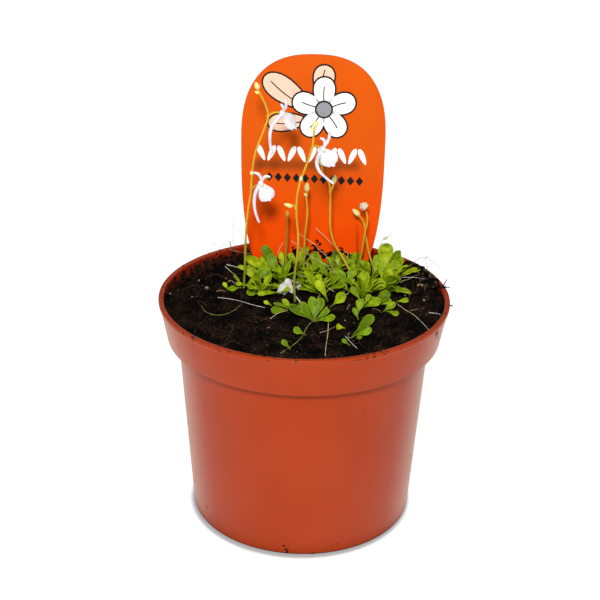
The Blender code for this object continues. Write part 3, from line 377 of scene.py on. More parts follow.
# Loose threads and runners of each kind: a darker and a paler tint, then each one's radius
# and points
THREADS = {
    "white": ((0.5, 0.47, 0.42), (0.8, 0.78, 0.72), (
        (0.099, ((-28.4, 6.3, 67.8), (-24.3, 5.2, 67.9), (-20.1, 3.4, 67.9), (-15.2, -0.7, 68.4),
                 (-12.1, -0.9, 67.8))),
        (0.26, ((-2.6, 3.3, 69.8), (-1.6, -0.6, 70.3), (-0.3, -1.7, 69.3))),
        (0.081, ((-0.4, 20.0, 74.7), (1.4, 19.0, 73.7))),
        (0.081, ((-10.9, 21.1, 69.9), (-9.1, 19.3, 69.8))),
        (0.093, ((-2.3, 17.4, 71.3), (0.5, 13.6, 72.0), (4.6, 11.4, 71.4), (7.0, 7.7, 71.3),
                 (9.4, 6.1, 70.5))),
        (0.081, ((13.2, 11.8, 71.7), (14.5, 12.4, 72.1), (16.2, 13.0, 71.9))),
        (0.074, ((9.8, 22.0, 74.7), (11.3, 20.0, 73.6))),
        (0.087, ((31.2, 18.7, 70.2), (33.4, 18.0, 70.6), (35.5, 17.0, 71.0), (38.3, 14.6, 71.6),
                 (40.8, 12.4, 72.6))),
        (0.099, ((38.0, -8.7, 70.7), (39.8, -8.8, 70.6), (41.0, -13.6, 72.4))),
        (0.093, ((12.3, -19.5, 67.7), (14.0, -24.6, 68.0), (15.7, -27.1, 67.4))),
        (0.081, ((13.4, 8.5, 68.4), (14.3, 9.6, 68.7))),
        (0.149, ((-25.8, 29.6, 69.0), (-23.9, 28.3, 69.1), (-21.6, 26.0, 69.5))),
    )),
    "pale": ((0.38, 0.36, 0.2), (0.66, 0.62, 0.4), (
        (0.105, ((28.6, 1.3, 69.1), (31.0, -4.6, 69.7), (33.7, -9.9, 70.1), (35.9, -13.4, 69.3),
                 (37.7, -17.4, 68.7))),
        (0.124, ((7.4, -12.8, 68.8), (7.2, -18.3, 68.1), (6.5, -28.3, 68.6), (6.2, -33.4, 68.1))),
        (0.093, ((-10.3, -8.4, 67.6), (-8.0, -6.0, 68.3), (-5.0, -4.6, 68.7))),
        (0.081, ((-4.5, 24.0, 80.3), (-2.5, 22.5, 79.3), (0.1, 20.5, 77.7), (3.4, 18.5, 76.1),
                 (6.7, 16.5, 74.9), (9.1, 15.0, 73.0))),
        (0.087, ((-1.9, 25.0, 82.4), (-0.0, 24.0, 81.2), (2.5, 22.5, 80.1), (4.6, 21.0, 78.5),
                 (7.0, 19.0, 76.9), (8.6, 17.0, 74.9), (9.8, 15.0, 72.8))),
        (0.087, ((3.4, 27.0, 83.5), (6.8, 26.0, 80.7), (9.8, 25.0, 77.7), (12.8, 24.0, 74.1),
                 (14.1, 23.0, 72.8))),
        (0.074, ((-7.1, 25.0, 79.1), (-8.1, 24.0, 77.6), (-8.9, 23.0, 75.8))),
        (0.087, ((6.0, 7.4, 72.5), (7.3, 8.4, 73.1), (9.7, 13.1, 72.4), (11.7, 15.7, 72.1))),
        (0.074, ((13.2, 15.9, 72.4), (14.6, 18.5, 72.6))),
        (0.099, ((14.0, 25.0, 73.5), (14.0, 25.5, 75.4), (12.5, 26.0, 76.2))),
        (0.081, ((33.3, 17.5, 70.0), (35.8, 19.0, 70.7), (38.3, 16.1, 72.8))),
        (0.087, ((31.1, 16.3, 69.5), (32.1, 17.2, 69.8), (33.1, 17.3, 70.0))),
        (0.074, ((12.9, -3.9, 68.4), (13.5, -2.6, 69.0), (14.2, 0.1, 69.1))),
        (0.081, ((8.0, 11.5, 68.7), (10.4, 10.9, 69.0), (13.0, 10.2, 68.7))),
        (0.074, ((4.4, 5.7, 68.5), (4.9, 8.0, 68.8))),
        (0.105, ((-26.3, 28.7, 68.8), (-24.2, 25.5, 68.3), (-22.3, 21.4, 68.8))),
        (0.087, ((-24.7, 17.0, 68.4), (-23.8, 17.4, 68.6), (-22.4, 16.9, 67.9))),
        (0.074, ((-13.5, 11.8, 69.6), (-11.6, 11.0, 69.1), (-9.7, 11.9, 68.6))),
    )),
    "green": ((0.1, 0.13, 0.03), (0.34, 0.38, 0.12), (
        (0.081, ((-32.0, -0.4, 68.1), (-29.5, -6.3, 68.2), (-25.7, -7.2, 68.0), (-22.2, -4.2, 67.9),
                 (-19.1, 1.6, 68.1))),
        (0.124, ((3.6, -9.7, 68.2), (1.8, -12.3, 68.0), (0.8, -16.0, 68.3), (-0.8, -21.8, 68.0),
                 (-4.6, -29.2, 68.0), (-6.8, -31.2, 67.4))),
        (0.099, ((30.7, 11.9, 69.8), (31.4, 8.7, 69.9), (32.6, 6.9, 69.8))),
        (0.105, ((13.1, -18.8, 67.8), (13.8, -21.3, 68.0), (14.6, -20.8, 68.1), (16.1, -19.0, 68.2))),
        (0.081, ((-19.2, 34.0, 73.8), (-18.3, 35.9, 71.8), (-17.9, 35.1, 70.5))),
        (0.093, ((-0.7, 24.6, 72.4), (0.3, 20.9, 71.8), (2.1, 19.3, 71.0))),
        (0.087, ((21.1, 2.0, 70.9), (23.2, 0.2, 70.0), (25.1, 0.2, 69.4))),
        (0.081, ((24.5, 18.5, 80.6), (24.4, 18.4, 82.2), (24.8, 17.7, 83.7))),
    )),
    "lime": ((0.22, 0.3, 0.01), (0.4, 0.46, 0.03), (
        (0.186, ((30.7, 18.1, 70.1), (32.0, 19.1, 71.3), (33.7, 19.7, 72.4))),
    )),
    "tan": ((0.3, 0.19, 0.1), (0.52, 0.38, 0.22), (
        (0.087, ((4.8, -17.8, 67.7), (7.1, -16.2, 67.8), (9.4, -14.2, 68.1))),
        (0.093, ((30.2, 23.3, 69.8), (32.4, 23.8, 70.9), (33.6, 20.9, 73.1), (35.6, 24.2, 73.0))),
        (0.087, ((32.6, -4.6, 69.4), (33.8, -5.2, 69.9), (35.0, -4.7, 70.0))),
        (0.087, ((21.4, -0.5, 68.0), (23.0, -1.9, 68.1), (23.8, -4.6, 68.5))),
        (0.093, ((-24.3, 31.2, 73.5), (-22.4, 30.5, 73.4), (-20.5, 35.8, 70.7), (-18.1, 35.6, 70.5))),
        (0.099, ((-28.0, 11.4, 67.4), (-26.7, 11.6, 67.8), (-25.1, 10.9, 67.7))),
    )),
    "hair": ((0.16, 0.16, 0.15), (0.34, 0.34, 0.33), (
        (0.07, ((-22.9, 33.8, 72.5), (-23.7, 31.5, 78.0), (-23.5, 30.1, 82.8), (-22.8, 29.1, 86.6))),
        (0.07, ((-28.5, 30.5, 73.6), (-26.9, 32.3, 75.0), (-25.5, 31.8, 74.6))),
        (0.1, ((-29.5, 30.8, 75.3), (-30.4, 32.6, 76.1))),
        (0.08, ((-21.0, 32.9, 77.5), (-21.3, 32.3, 79.1))),
        (0.08, ((35.4, 23.0, 73.3), (37.1, 24.7, 74.3), (38.9, 24.4, 74.9), (40.2, 15.4, 77.7),
                (42.2, 14.5, 76.5), (43.4, 14.2, 74.9))),
        (0.09, ((40.0, 20.5, 72.8), (39.5, 22.0, 73.8), (38.8, 16.3, 78.7))),
        (0.07, ((25.9, 18.1, 84.2), (27.5, 17.2, 86.4))),
    )),
    "stub": ((0.1, 0.11, 0.04), (0.22, 0.24, 0.1), (
        (0.211, ((-24.4, 30.6, 73.6), (-24.5, 32.1, 74.5), (-25.0, 34.1, 75.5))),
    )),
    "dark": ((0.05, 0.006, 0.002), (0.12, 0.012, 0.003), (
        (0.13, ((16.7, 20.0, 70.0), (16.9, 22.0, 75.6), (16.8, 23.2, 81.0), (16.6, 24.0, 86.0))),
    )),
}


def length(name, text, millimetres):
    """A length setting with its default in millimetres."""
    return FloatProperty(
        name=name, description=text, default=millimetres * MM, min=0.0, unit="LENGTH", precision=5
    )


def share(name, text, default):
    """A setting between nothing and all."""
    return FloatProperty(
        name=name, description=text, default=default, min=0.0, max=1.0, subtype="FACTOR"
    )


def colour(name, text, default):
    """A linear colour setting."""
    return FloatVectorProperty(
        name=name, description=text, default=default, min=0.0, max=1.0, size=3, subtype="COLOR"
    )


class PotSettings(bpy.types.PropertyGroup):
    """The moulded pot."""

    sides: IntProperty(name="Sides", description="Steps round the pot", default=192, min=48)
    edge_round: length("Edge rounding", "Radius of the pot's small edges", 0.45)
    plastic: colour("Plastic", "Colour of the pot", (0.305, 0.0315, 0.0046))
    worn: colour("Worn plastic", "Slightly faded patches", (0.325, 0.0360, 0.0068))
    # Painted sheen: a pale colour mixed into the plastic where the wall is seen edge on
    edge: colour("Painted edge sheen", "The sheen of the wall seen edge on", (0.560, 0.300, 0.170))
    # Painted shade: the inside wall above the peat is given a darker red than the plastic
    inside: colour("Shaded inside wall", "The pot's inside wall above the peat", (0.190, 0.010, 0.003))
    # Soil also colours the painted shade lines under the collar and at the foot
    soil: colour("Soil", "Soil on the pot", (0.022, 0.009, 0.005))
    roughness: share("Roughness", "Satin of the plastic", 0.36)


class PeatSettings(bpy.types.PropertyGroup):
    """The peat and its crumbs."""

    rings: IntProperty(name="Rings", description="Rings of the top surface", default=104, min=20)
    sides: IntProperty(name="Sides", description="Steps round the peat", default=380, min=60)
    clods: length("Clod height", "Height of the coarse clods", 1.60)
    crumbs: IntProperty(name="Crumbs", description="Loose crumbs", default=2300, min=0)
    fibres: IntProperty(name="Fibres", description="Loose brown fibres", default=130, min=0)
    dark: colour("Dark peat", "Wet peat in the hollows", (0.0024, 0.0014, 0.0009))
    brown: colour("Brown peat", "Drier crumbs", (0.0160, 0.0085, 0.0050))
    fibre: colour("Fibre", "Dry plant fibres", (0.0640, 0.0300, 0.0140))
    grain: colour("Pale grain", "Grains of sand and perlite", (0.420, 0.310, 0.190))
    tan: colour("Tan crumb", "Dry crumbs of plant litter", (0.085, 0.045, 0.022))


class LabelSettings(bpy.types.PropertyGroup):
    """The plant label and its print."""

    thickness: length("Thickness", "Thickness of the plastic", 0.8)
    edge_round: length("Edge rounding", "Radius along the label's edge", 0.25)
    print_height: length("Print height", "How far one layer of print stands up", 0.05)
    top: colour("Top colour", "Orange at the top", (0.590, 0.0820, 0.0015))
    shade: colour("Shade", "The soft shade under the small leaves", (0.190, 0.042, 0.006))
    # Painted light: the foot is a lighter red than the top as well as a redder one, to make up for the
    # shade of the leaves
    foot: colour("Foot colour", "Redder orange at the foot", (0.880, 0.0700, 0.0010))
    white: colour("White print", "The pale print", (0.880, 0.870, 0.840))
    blush: colour("Pale print", "The peach-coloured print", (0.800, 0.520, 0.380))
    grey: colour("Grey print", "The grey print", (0.250, 0.260, 0.280))
    black: colour("Black print", "The dark print", (0.012, 0.008, 0.008))


class LeafSettings(bpy.types.PropertyGroup):
    """The leaves of every tuft."""

    thickness: length("Thickness", "Thickness of a leaf", 0.22)
    rows: IntProperty(name="Rows", description="Steps along a leaf", default=13, min=4)
    columns: IntProperty(name="Columns", description="Steps across a leaf", default=6, min=2)
    infill: IntProperty(name="Small leaves", description="Small leaves in a full tuft", default=15)
    deep: colour("Deep green", "The older leaves", (0.056, 0.112, 0.003))
    fresh: colour("Fresh green", "Most leaves", (0.160, 0.278, 0.003))
    lime: colour("Lime", "The youngest leaves", (0.350, 0.455, 0.006))
    base: colour("Leaf base", "The leaf's own stalk", (0.100, 0.150, 0.008))


class StalkSettings(bpy.types.PropertyGroup):
    """The flower stalks, buds and runners."""

    steps: IntProperty(name="Steps", description="Steps between two points", default=5, min=1)
    green: colour("Green", "The stalk near the peat", (0.180, 0.250, 0.018))
    golden: colour("Golden", "The stalk near the flowers", (0.620, 0.350, 0.018))
    bud: colour("Bud", "The buds", (0.720, 0.640, 0.230))
    # Painted shade: the bud and the stalk behind get darker colours than those in front
    painted_shade_bud: colour("Painted shade bud", "The bud in the shade behind", (0.520, 0.250, 0.030))
    brown: colour("Brown", "The stalk in the shade behind", (0.420, 0.150, 0.012))


class FlowerSettings(bpy.types.PropertyGroup):
    """The blooms."""

    thickness: length("Petal thickness", "Thickness of the lip", 0.24)
    rows: IntProperty(name="Rows", description="Steps along the lip", default=12, min=3)
    columns: IntProperty(name="Columns", description="Steps across the lip", default=20, min=4)
    white: colour("White", "The petals", (0.690, 0.655, 0.685))
    lilac: colour("Lilac", "The faint tint in the folds", (0.510, 0.450, 0.525))
    throat: colour("Throat", "The greenish swelling in the throat", (0.560, 0.580, 0.340))
    cream: colour("Cream", "The petals that dropped", (0.640, 0.610, 0.540))
    withered: colour("Withered", "Withered petals", (0.640, 0.570, 0.430))


class StageSettings(bpy.types.PropertyGroup):
    """Camera, light and floor."""

    lens: FloatProperty(name="Lens", description="Focal length for a 36 mm sensor", default=79.49)
    distance: length("Distance", "From the camera to its target", 411.4)
    elevation: FloatProperty(
        name="Elevation", description="Height of the camera above the horizon",
        default=math.radians(24.825), subtype="ANGLE",
    )
    roll: FloatProperty(
        name="Roll", description="Turn of the picture", default=math.radians(0.952),
        subtype="ANGLE",
    )
    sky: FloatProperty(name="Sky", description="Strength of the white surround", default=0.42)
    glow: FloatProperty(name="Floor glow", description="Light of the white floor", default=0.80)
    key: FloatProperty(name="Key light", description="Power of the soft key light", default=4.1)


def new_material(name, roughness, **sockets):
    """A material whose Principled BSDF holds the constants: with its tree and coordinates."""
    material = bpy.data.materials.new(name)
    material.use_nodes = True
    shader = material.node_tree.nodes["Principled BSDF"]
    shader.inputs["Roughness"].default_value = roughness
    for socket, value in sockets.items():
        shader.inputs[socket.replace("_", " ")].default_value = value
    return material, material.node_tree, object_coordinates(material.node_tree)


def add_node(tree, kind, values=(), **settings):
    """A node with its settings, and a value or a link for each named input."""
    made = tree.nodes.new(kind)
    for key, value in settings.items():
        setattr(made, key, value)
    for socket, value in dict(values).items():
        if isinstance(value, bpy.types.NodeSocket):
            tree.links.new(value, made.inputs[socket])
        else:
            made.inputs[socket].default_value = value
    return made


def rgba(linear):
    """A linear colour as four numbers."""
    return (*linear, 1.0)


def object_coordinates(tree):
    """The piece's own coordinates, in metres."""
    return add_node(tree, "ShaderNodeTexCoord").outputs["Object"]


def attribute(tree, name):
    """A number kept at each corner of the mesh."""
    return add_node(tree, "ShaderNodeAttribute", attribute_name=name).outputs["Fac"]


def mix_colours(tree, factor, low, high, blend="MIX"):
    """Two colours mixed by a factor."""
    mixed = add_node(
        tree, "ShaderNodeMix", {0: factor, 6: low, 7: high}, data_type="RGBA", blend_type=blend
    )
    return mixed.outputs[2]


def ramp(tree, value, low, high, smooth=True):
    """A number stretched so that low becomes nothing and high becomes all."""
    kind = "SMOOTHSTEP" if smooth else "LINEAR"
    stretched = add_node(
        tree, "ShaderNodeMapRange", {"Value": value, "From Min": low, "From Max": high},
        interpolation_type=kind,
    )
    return stretched.outputs["Result"]


def new_group(name, inputs, outputs):
    """An empty node group, the sockets that lead into its tree and those that lead out."""
    group = bpy.data.node_groups.new(name, "ShaderNodeTree")
    for way, sockets in (("INPUT", inputs), ("OUTPUT", outputs)):
        for socket, kind in sockets.items():
            group.interface.new_socket(socket, in_out=way, socket_type=f"NodeSocket{kind}")
    entry = group.nodes.new("NodeGroupInput").outputs
    leave = group.nodes.new("NodeGroupOutput").inputs
    return group, entry, leave


def mottle_group():
    """Soft blotches between two colours, and their height."""
    group, entry, leave = new_group(
        "Mottle",
        {"Vector": "Vector", "Scale": "Float", "Low": "Color", "High": "Color",
         "Start": "Float", "End": "Float"},
        {"Color": "Color", "Height": "Float"},
    )
    blotches = cloudy(group, entry["Vector"], entry["Scale"], 4.0)
    level = ramp(group, blotches, entry["Start"], entry["End"])
    group.links.new(mix_colours(group, level, entry["Low"], entry["High"]), leave["Color"])
    group.links.new(blotches, leave["Height"])
    return group


SPECK_SOFTNESS = 0.06


def specks_group():
    """A mask of small scattered specks of many sizes."""
    group, entry, leave = new_group(
        "Specks", {"Vector": "Vector", "Scale": "Float", "Size": "Float", "Rarity": "Float"},
        {"Mask": "Float"},
    )
    place = {"Vector": entry["Vector"], "Scale": entry["Scale"]}
    cells = add_node(group, "ShaderNodeTexVoronoi", place).outputs
    chance = add_node(group, "ShaderNodeSeparateColor", {"Color": cells["Color"]}).outputs["Red"]
    size = product(group, calculate(group, "POWER", chance, entry["Rarity"]), entry["Size"])
    inside = calculate(group, "SUBTRACT", size, cells["Distance"])
    group.links.new(ramp(group, inside, 0.0, SPECK_SOFTNESS), leave["Mask"])
    return group


def grouped(tree, name, build, values):
    """The outputs of a shared node group, which is built the first time it is asked for."""
    group = bpy.data.node_groups.get(name) or build()
    return add_node(tree, "ShaderNodeGroup", values, node_tree=group).outputs


def mottle(tree, vector, scale, low, high, start=0.35, end=0.65):
    """The shared blotches with their own colours; gives the colour and the height."""
    values = {
        "Vector": vector, "Scale": scale, "Low": low, "High": high, "Start": start, "End": end,
    }
    made = grouped(tree, "Mottle", mottle_group, values)
    return made["Color"], made["Height"]


def specks(tree, vector, scale, size, rarity):
    """The shared specks with their own size and rarity."""
    values = {"Vector": vector, "Scale": scale, "Size": size, "Rarity": rarity}
    return grouped(tree, "Specks", specks_group, values)["Mask"]


def paint(tree, base, height=None, strength=0.0, distance=0.0):
    """Gives the shader its base colour, and bump from a height where there is one."""
    shader = tree.nodes["Principled BSDF"]
    tree.links.new(base, shader.inputs["Base Color"])
    if height is not None:
        values = {"Height": height, "Strength": strength, "Distance": distance * MM}
        relief = add_node(tree, "ShaderNodeBump", values)
        tree.links.new(relief.outputs["Normal"], shader.inputs["Normal"])


def calculate(tree, operation, *values):
    """A Math node's result."""
    made = add_node(tree, "ShaderNodeMath", dict(enumerate(values)), operation=operation)
    return made.outputs[0]


def product(tree, *values):
    """Numbers multiplied together."""
    result = values[0]
    for value in values[1:]:
        result = calculate(tree, "MULTIPLY", result, value)
    return result


def heights(tree, where):
    """The height of a place above the pot's foot."""
    return add_node(tree, "ShaderNodeSeparateXYZ", {"Vector": where}).outputs["Z"]


def cloudy(tree, where, scale, detail, **sockets):
    """Plain noise at a scale."""
    values = {"Vector": where, "Scale": scale, "Detail": detail, **sockets}
    return add_node(tree, "ShaderNodeTexNoise", values).outputs["Fac"]


def dimmed(linear, share_left):
    """A darker copy of a colour."""
    return tuple(share_left * channel for channel in linear)


def distance_from_axis(tree, where):
    """How far a place is from the pot's axis."""
    place = add_node(tree, "ShaderNodeSeparateXYZ", {"Vector": where}).outputs
    flat = add_node(tree, "ShaderNodeCombineXYZ", {"X": place["X"], "Y": place["Y"]})
    measured = add_node(tree, "ShaderNodeVectorMath", {0: flat.outputs[0]}, operation="LENGTH")
    return measured.outputs["Value"]


# The middle of the pot's wall above the ledge: how far it leans out, and its reach less that lean
COLLAR_LEAN = 0.161
INSIDE_LEAN = 32.4
# How much more soil clings to the inside wall for each millimetre down from the rim
SOIL_RISE = 0.075


# Painted sheen: where the pale colour painted on the wall seen edge on starts and is full, and how strong
# it is
PAINTED_EDGE_SHEEN = (0.58, 1.0, 0.45)
# From which level of the noise the soil starts and is full: smears inside, patches on the lip
SMEAR = (0.54, 0.70)
PATCHES = (0.42, 0.58)
# How dark the painted shade under the collar and at the foot is
PAINTED_SHADE_STRENGTH = 0.75


def fade(tree, value, low, high):
    """A soft step between two lengths in millimetres."""
    return ramp(tree, value, low * MM, high * MM)


def inside_shade_and_soil_mask(tree, height, reach):
    """The mask of the pot's inside wall between the ledge and the lip, where painted shade and smeared
    soil go.
    """
    lean = calculate(tree, "MULTIPLY_ADD", height, -COLLAR_LEAN, reach)
    return product(
        tree, fade(tree, lean, INSIDE_LEAN, INSIDE_LEAN - 0.1),
        fade(tree, height, LEDGE_Z, LEDGE_Z + 0.5),
        fade(tree, height, POT_HEIGHT - 0.1, POT_HEIGHT - 0.8),
    )


def soil_and_shade_mask(tree, where, height, reach, inside):
    """The mask of soil smeared inside and smudged on the lip, and of painted shade: dark lines under the
    collar and at the foot.
    """
    depth = calculate(tree, "MULTIPLY_ADD", height, -SOIL_RISE / MM, SOIL_RISE * POT_HEIGHT)
    coverage = calculate(tree, "ADD", cloudy(tree, where, 420.0, 8.0, Roughness=0.65), depth)
    smeared = product(tree, ramp(tree, coverage, *SMEAR), inside)
    lip = fade(tree, height, POT_HEIGHT - 1.6, POT_HEIGHT - 0.4)
    patchy = product(tree, ramp(tree, cloudy(tree, where, 110.0, 2.0), *PATCHES), lip)
    smudged = product(tree, specks(tree, where, 1000.0, 0.60, 1.8), patchy)
    # Painted shade: a dark line under the collar and at the pot's foot
    collar_foot_shade = product(
        tree, fade(tree, height, COLLAR_FOOT_Z + 0.32, COLLAR_FOOT_Z + 0.10),
        fade(tree, reach, BODY_TOP_RADIUS + 1.5, BODY_TOP_RADIUS + 2.0),
    )
    painted_shade_lines = calculate(tree, "MAXIMUM", collar_foot_shade, fade(tree, height, 0.5, 0.2))
    soil_and_shade = product(tree, painted_shade_lines, PAINTED_SHADE_STRENGTH)
    for mask in (smudged, smeared):
        soil_and_shade = calculate(tree, "MAXIMUM", soil_and_shade, mask)
    return soil_and_shade


def pot_material(settings):
    """Satin injection-moulded plastic, a little faded, with specks of soil, a painted sheen at its edges,
    and painted shade inside, under the collar and at the foot.
    """
    material, tree, where = new_material(
        "pot_plastic", settings.roughness, Specular_IOR_Level=0.12,
        Specular_Tint=(1.0, 0.84, 0.68, 1.0),
    )
    height, reach = heights(tree, where), distance_from_axis(tree, where)
    plastic, _ = mottle(tree, where, 45.0, rgba(settings.plastic), rgba(settings.worn))
    # Painted sheen: the wall seen edge on is made paler
    facing = add_node(tree, "ShaderNodeLayerWeight", {"Blend": 0.5}).outputs["Facing"]
    edge = product(tree, ramp(tree, facing, *PAINTED_EDGE_SHEEN[:2]), PAINTED_EDGE_SHEEN[2])
    plastic = mix_colours(tree, edge, plastic, rgba(settings.edge))
    # Painted shade: the inside wall is coloured a darker red
    inside = inside_shade_and_soil_mask(tree, height, reach)
    plastic = mix_colours(tree, inside, plastic, rgba(settings.inside))
    soil_and_shade = soil_and_shade_mask(tree, where, height, reach, inside)
    base = mix_colours(tree, soil_and_shade, plastic, rgba(settings.soil))
    paint(tree, base, cloudy(tree, where, 2600.0, 2.0), 0.10, 0.04)
    return material


# What the peat's colour is multiplied by where it is dry and where it is wet
DRY_PATCH = (3.2, 2.65, 2.3)
WET_PATCH = (0.16, 0.16, 0.16)


def peat_material(settings):
    """Damp dark peat with drier brown crumbs."""
    material, tree, where = new_material("peat_damp", 0.75, Specular_IOR_Level=0.06)
    dark, brown = rgba(settings.dark), rgba(settings.brown)
    fine, height = mottle(tree, where, 1300.0, dark, brown, 0.48, 0.74)
    patches, _ = mottle(tree, where, 190.0, rgba(WET_PATCH), rgba(DRY_PATCH), 0.38, 0.68)
    paint(tree, mix_colours(tree, 1.0, fine, patches, "MULTIPLY"), height, 0.7, 0.35)
    return material


def fibre_material(name, low, high, roughness=0.7):
    """Dry plant thread, lighter and darker along its length."""
    material, tree, where = new_material(name, roughness, Specular_IOR_Level=0.15)
    thread, height = mottle(tree, where, 500.0, rgba(low), rgba(high), 0.3, 0.7)
    paint(tree, thread, height, 0.2, 0.05)
    return material


# The soft shade printed on the front under the row of small leaves
SHADE_Z = 103.2
SHADE_FADE = 3.2
SHADE_REACH = 18.6
SHADE_STRENGTH = 0.75


def label_shade(tree, parts):
    """The mask of the printed shade, from a place's coordinates."""
    height, middle = parts["Z"], SHADE_Z * MM
    sideways = calculate(tree, "ABSOLUTE", parts["X"])
    slope = math.tan(math.radians(LABEL_BACKWARD_LEAN))
    plane = calculate(tree, "MULTIPLY_ADD", height, slope, (LABEL_Y - slope * LABEL_PEAT_Z) * MM)
    return product(
        tree, ramp(tree, height, (SHADE_Z - SHADE_FADE) * MM, middle),
        ramp(tree, height, (SHADE_Z + SHADE_FADE) * MM, middle),
        ramp(tree, sideways, SHADE_REACH * MM, (SHADE_REACH - SHADE_FADE) * MM),
        calculate(tree, "LESS_THAN", parts["Y"], plane), SHADE_STRENGTH,
    )


def label_material(settings):
    """Glossy orange sheet, redder towards the foot, where its colour is also painted lighter to make up
    for the shade of the leaves round it.
    """
    material, tree, where = new_material("label_orange", 0.35, Specular_IOR_Level=0.06)
    parts = add_node(tree, "ShaderNodeSeparateXYZ", {"Vector": where}).outputs
    up = ramp(tree, parts["Z"], LABEL_PEAT_Z * MM, LABEL_WIDEST_Z * MM)
    # Painted light: the foot's colour is lighter as well as redder, against the shade of the leaves round
    # it
    orange = mix_colours(tree, up, rgba(settings.foot), rgba(settings.top))
    orange = mix_colours(tree, label_shade(tree, parts), orange, rgba(settings.shade))
    clouds, relief = mottle(tree, where, 90.0, rgba((0.96, 0.93, 0.93)), rgba((1.0, 1.0, 1.0)))
    paint(tree, mix_colours(tree, 1.0, orange, clouds, "MULTIPLY"), relief, 0.05, 0.1)
    return material


def ink_material(name, ink):
    """Matt printing ink with a little unevenness."""
    material, tree, where = new_material(name, 0.42, Specular_IOR_Level=0.1)
    paint(tree, mottle(tree, where, 600.0, rgba(dimmed(ink, 0.93)), rgba(ink))[0])
    return material


def leaf_material(settings):
    """Soft thin leaf: a darker stalk, each blade with its own green, and a pale margin that is a painted
    highlight.
    """
    material, tree, where = new_material(
        "leaf_green", 0.45, Subsurface_Weight=0.12, Subsurface_Scale=0.0006,
        Subsurface_Radius=(0.6, 1.0, 0.15), Specular_IOR_Level=0.10,
    )
    along, across, tone = (attribute(tree, name) for name in LEAF_LAYERS)
    lime = rgba(settings.lime)
    older = ramp(tree, tone, 0.0, 0.5, False)
    own = mix_colours(tree, older, rgba(settings.deep), rgba(settings.fresh))
    own = mix_colours(tree, ramp(tree, tone, 0.5, 1.0, False), own, lime)
    shade, height = mottle(
        tree, where, 520.0, rgba((0.55, 0.60, 0.35)), rgba((1.18, 1.10, 1.0)), 0.30, 0.66
    )
    blade_colour = mix_colours(tree, 1.0, own, shade, "MULTIPLY")
    # Painted highlight: the leaf's margin is made paler towards lime
    margin = product(tree, ramp(tree, across, 0.72, 1.0), 0.42)
    edge_highlighted = mix_colours(tree, margin, blade_colour, lime)
    base = mix_colours(tree, ramp(tree, along, 0.10, 0.50), rgba(settings.base), edge_highlighted)
    paint(tree, base, height, 0.6, 0.25)
    return material


def stalk_material(settings, name="stalk_golden", high=None, turning=(69.0, 92.0)):
    """Slim stalk, green at the foot and golden, or another colour, above the turning heights."""
    material, tree, where = new_material(name, 0.42, Specular_IOR_Level=0.2)
    up = ramp(tree, heights(tree, where), turning[0] * MM, turning[1] * MM)
    mixed = mix_colours(tree, up, rgba(settings.green), rgba(high or settings.golden))
    shades, relief = mottle(tree, where, 350.0, rgba((0.82, 0.84, 0.80)), rgba((1.0, 1.0, 1.0)))
    paint(tree, mix_colours(tree, 1.0, mixed, shades, "MULTIPLY"), relief, 0.15, 0.08)
    return material


def petal_material(name, pale, tint):
    """Thin pale petal with a faint tint in patches."""
    material, tree, where = new_material(
        name, 0.55, Subsurface_Weight=0.15, Subsurface_Scale=0.0006, Specular_IOR_Level=0.2
    )
    paint(tree, *mottle(tree, where, 380.0, rgba(tint), rgba(pale), 0.25, 0.55), 0.2, 0.1)
    return material


def at(point):
    """A point given in millimetres, as a vector in metres."""
    return Vector(point) * MM


def mesh_of(bm, name):
    """A mesh made from a bmesh, which is then freed."""
    mesh = bpy.data.meshes.new(name)
    bm.to_mesh(mesh)
    bm.free()
    return mesh


def add_object(name, data):
    """A new object in the scene."""
    made = bpy.data.objects.new(name, data)
    bpy.context.scene.collection.objects.link(made)
    return made


def new_piece(bm, name, material, nodes=(), sharp=None):
    """Turns a bmesh into a finished piece that rides with the part."""
    mesh = mesh_of(bm, name)
    mesh.materials.append(material)
    mesh.shade_smooth()
    if sharp:
        mesh.set_sharp_from_angle(angle=math.radians(sharp))
    made = add_object(name, mesh)
    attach(made, "root")
    if nodes:
        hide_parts(*nodes)


def face_outward(bm):
    """Turns every face of closed shapes outward."""
    bmesh.ops.recalc_face_normals(bm, faces=bm.faces[:])


def evaluated_mesh(obj):
    """A new mesh of the object with its modifiers or its bevel applied."""
    graph = bpy.context.evaluated_depsgraph_get()
    return bpy.data.meshes.new_from_object(obj.evaluated_get(graph))


def turned(profile, sides):
    """A closed solid turned about the Z axis from a profile that starts and ends on the axis."""
    bm = bmesh.new()
    corners = [bm.verts.new((r * MM, 0.0, z * MM)) for r, z in profile]
    edges = [bm.edges.new(pair) for pair in zip(corners, corners[1:])]
    bmesh.ops.spin(
        bm, geom=corners + edges, cent=(0, 0, 0), axis=(0, 0, 1),
        angle=2 * math.pi, steps=sides, use_merge=True,
    )
    bmesh.ops.remove_doubles(bm, verts=bm.verts[:], dist=WELD)
    face_outward(bm)
    return bm


def round_edges(bm, least_angle, offset, segments):
    """Rounds every edge that turns by at least an angle, in degrees."""
    turn = math.radians(least_angle)
    sharp = [edge for edge in bm.edges if edge.is_manifold and edge.calc_face_angle() > turn]
    bmesh.ops.bevel(
        bm, geom=sharp, offset=offset, offset_type="OFFSET", segments=segments, profile=0.5,
        affect="EDGES", material=-1, clamp_overlap=True,
    )


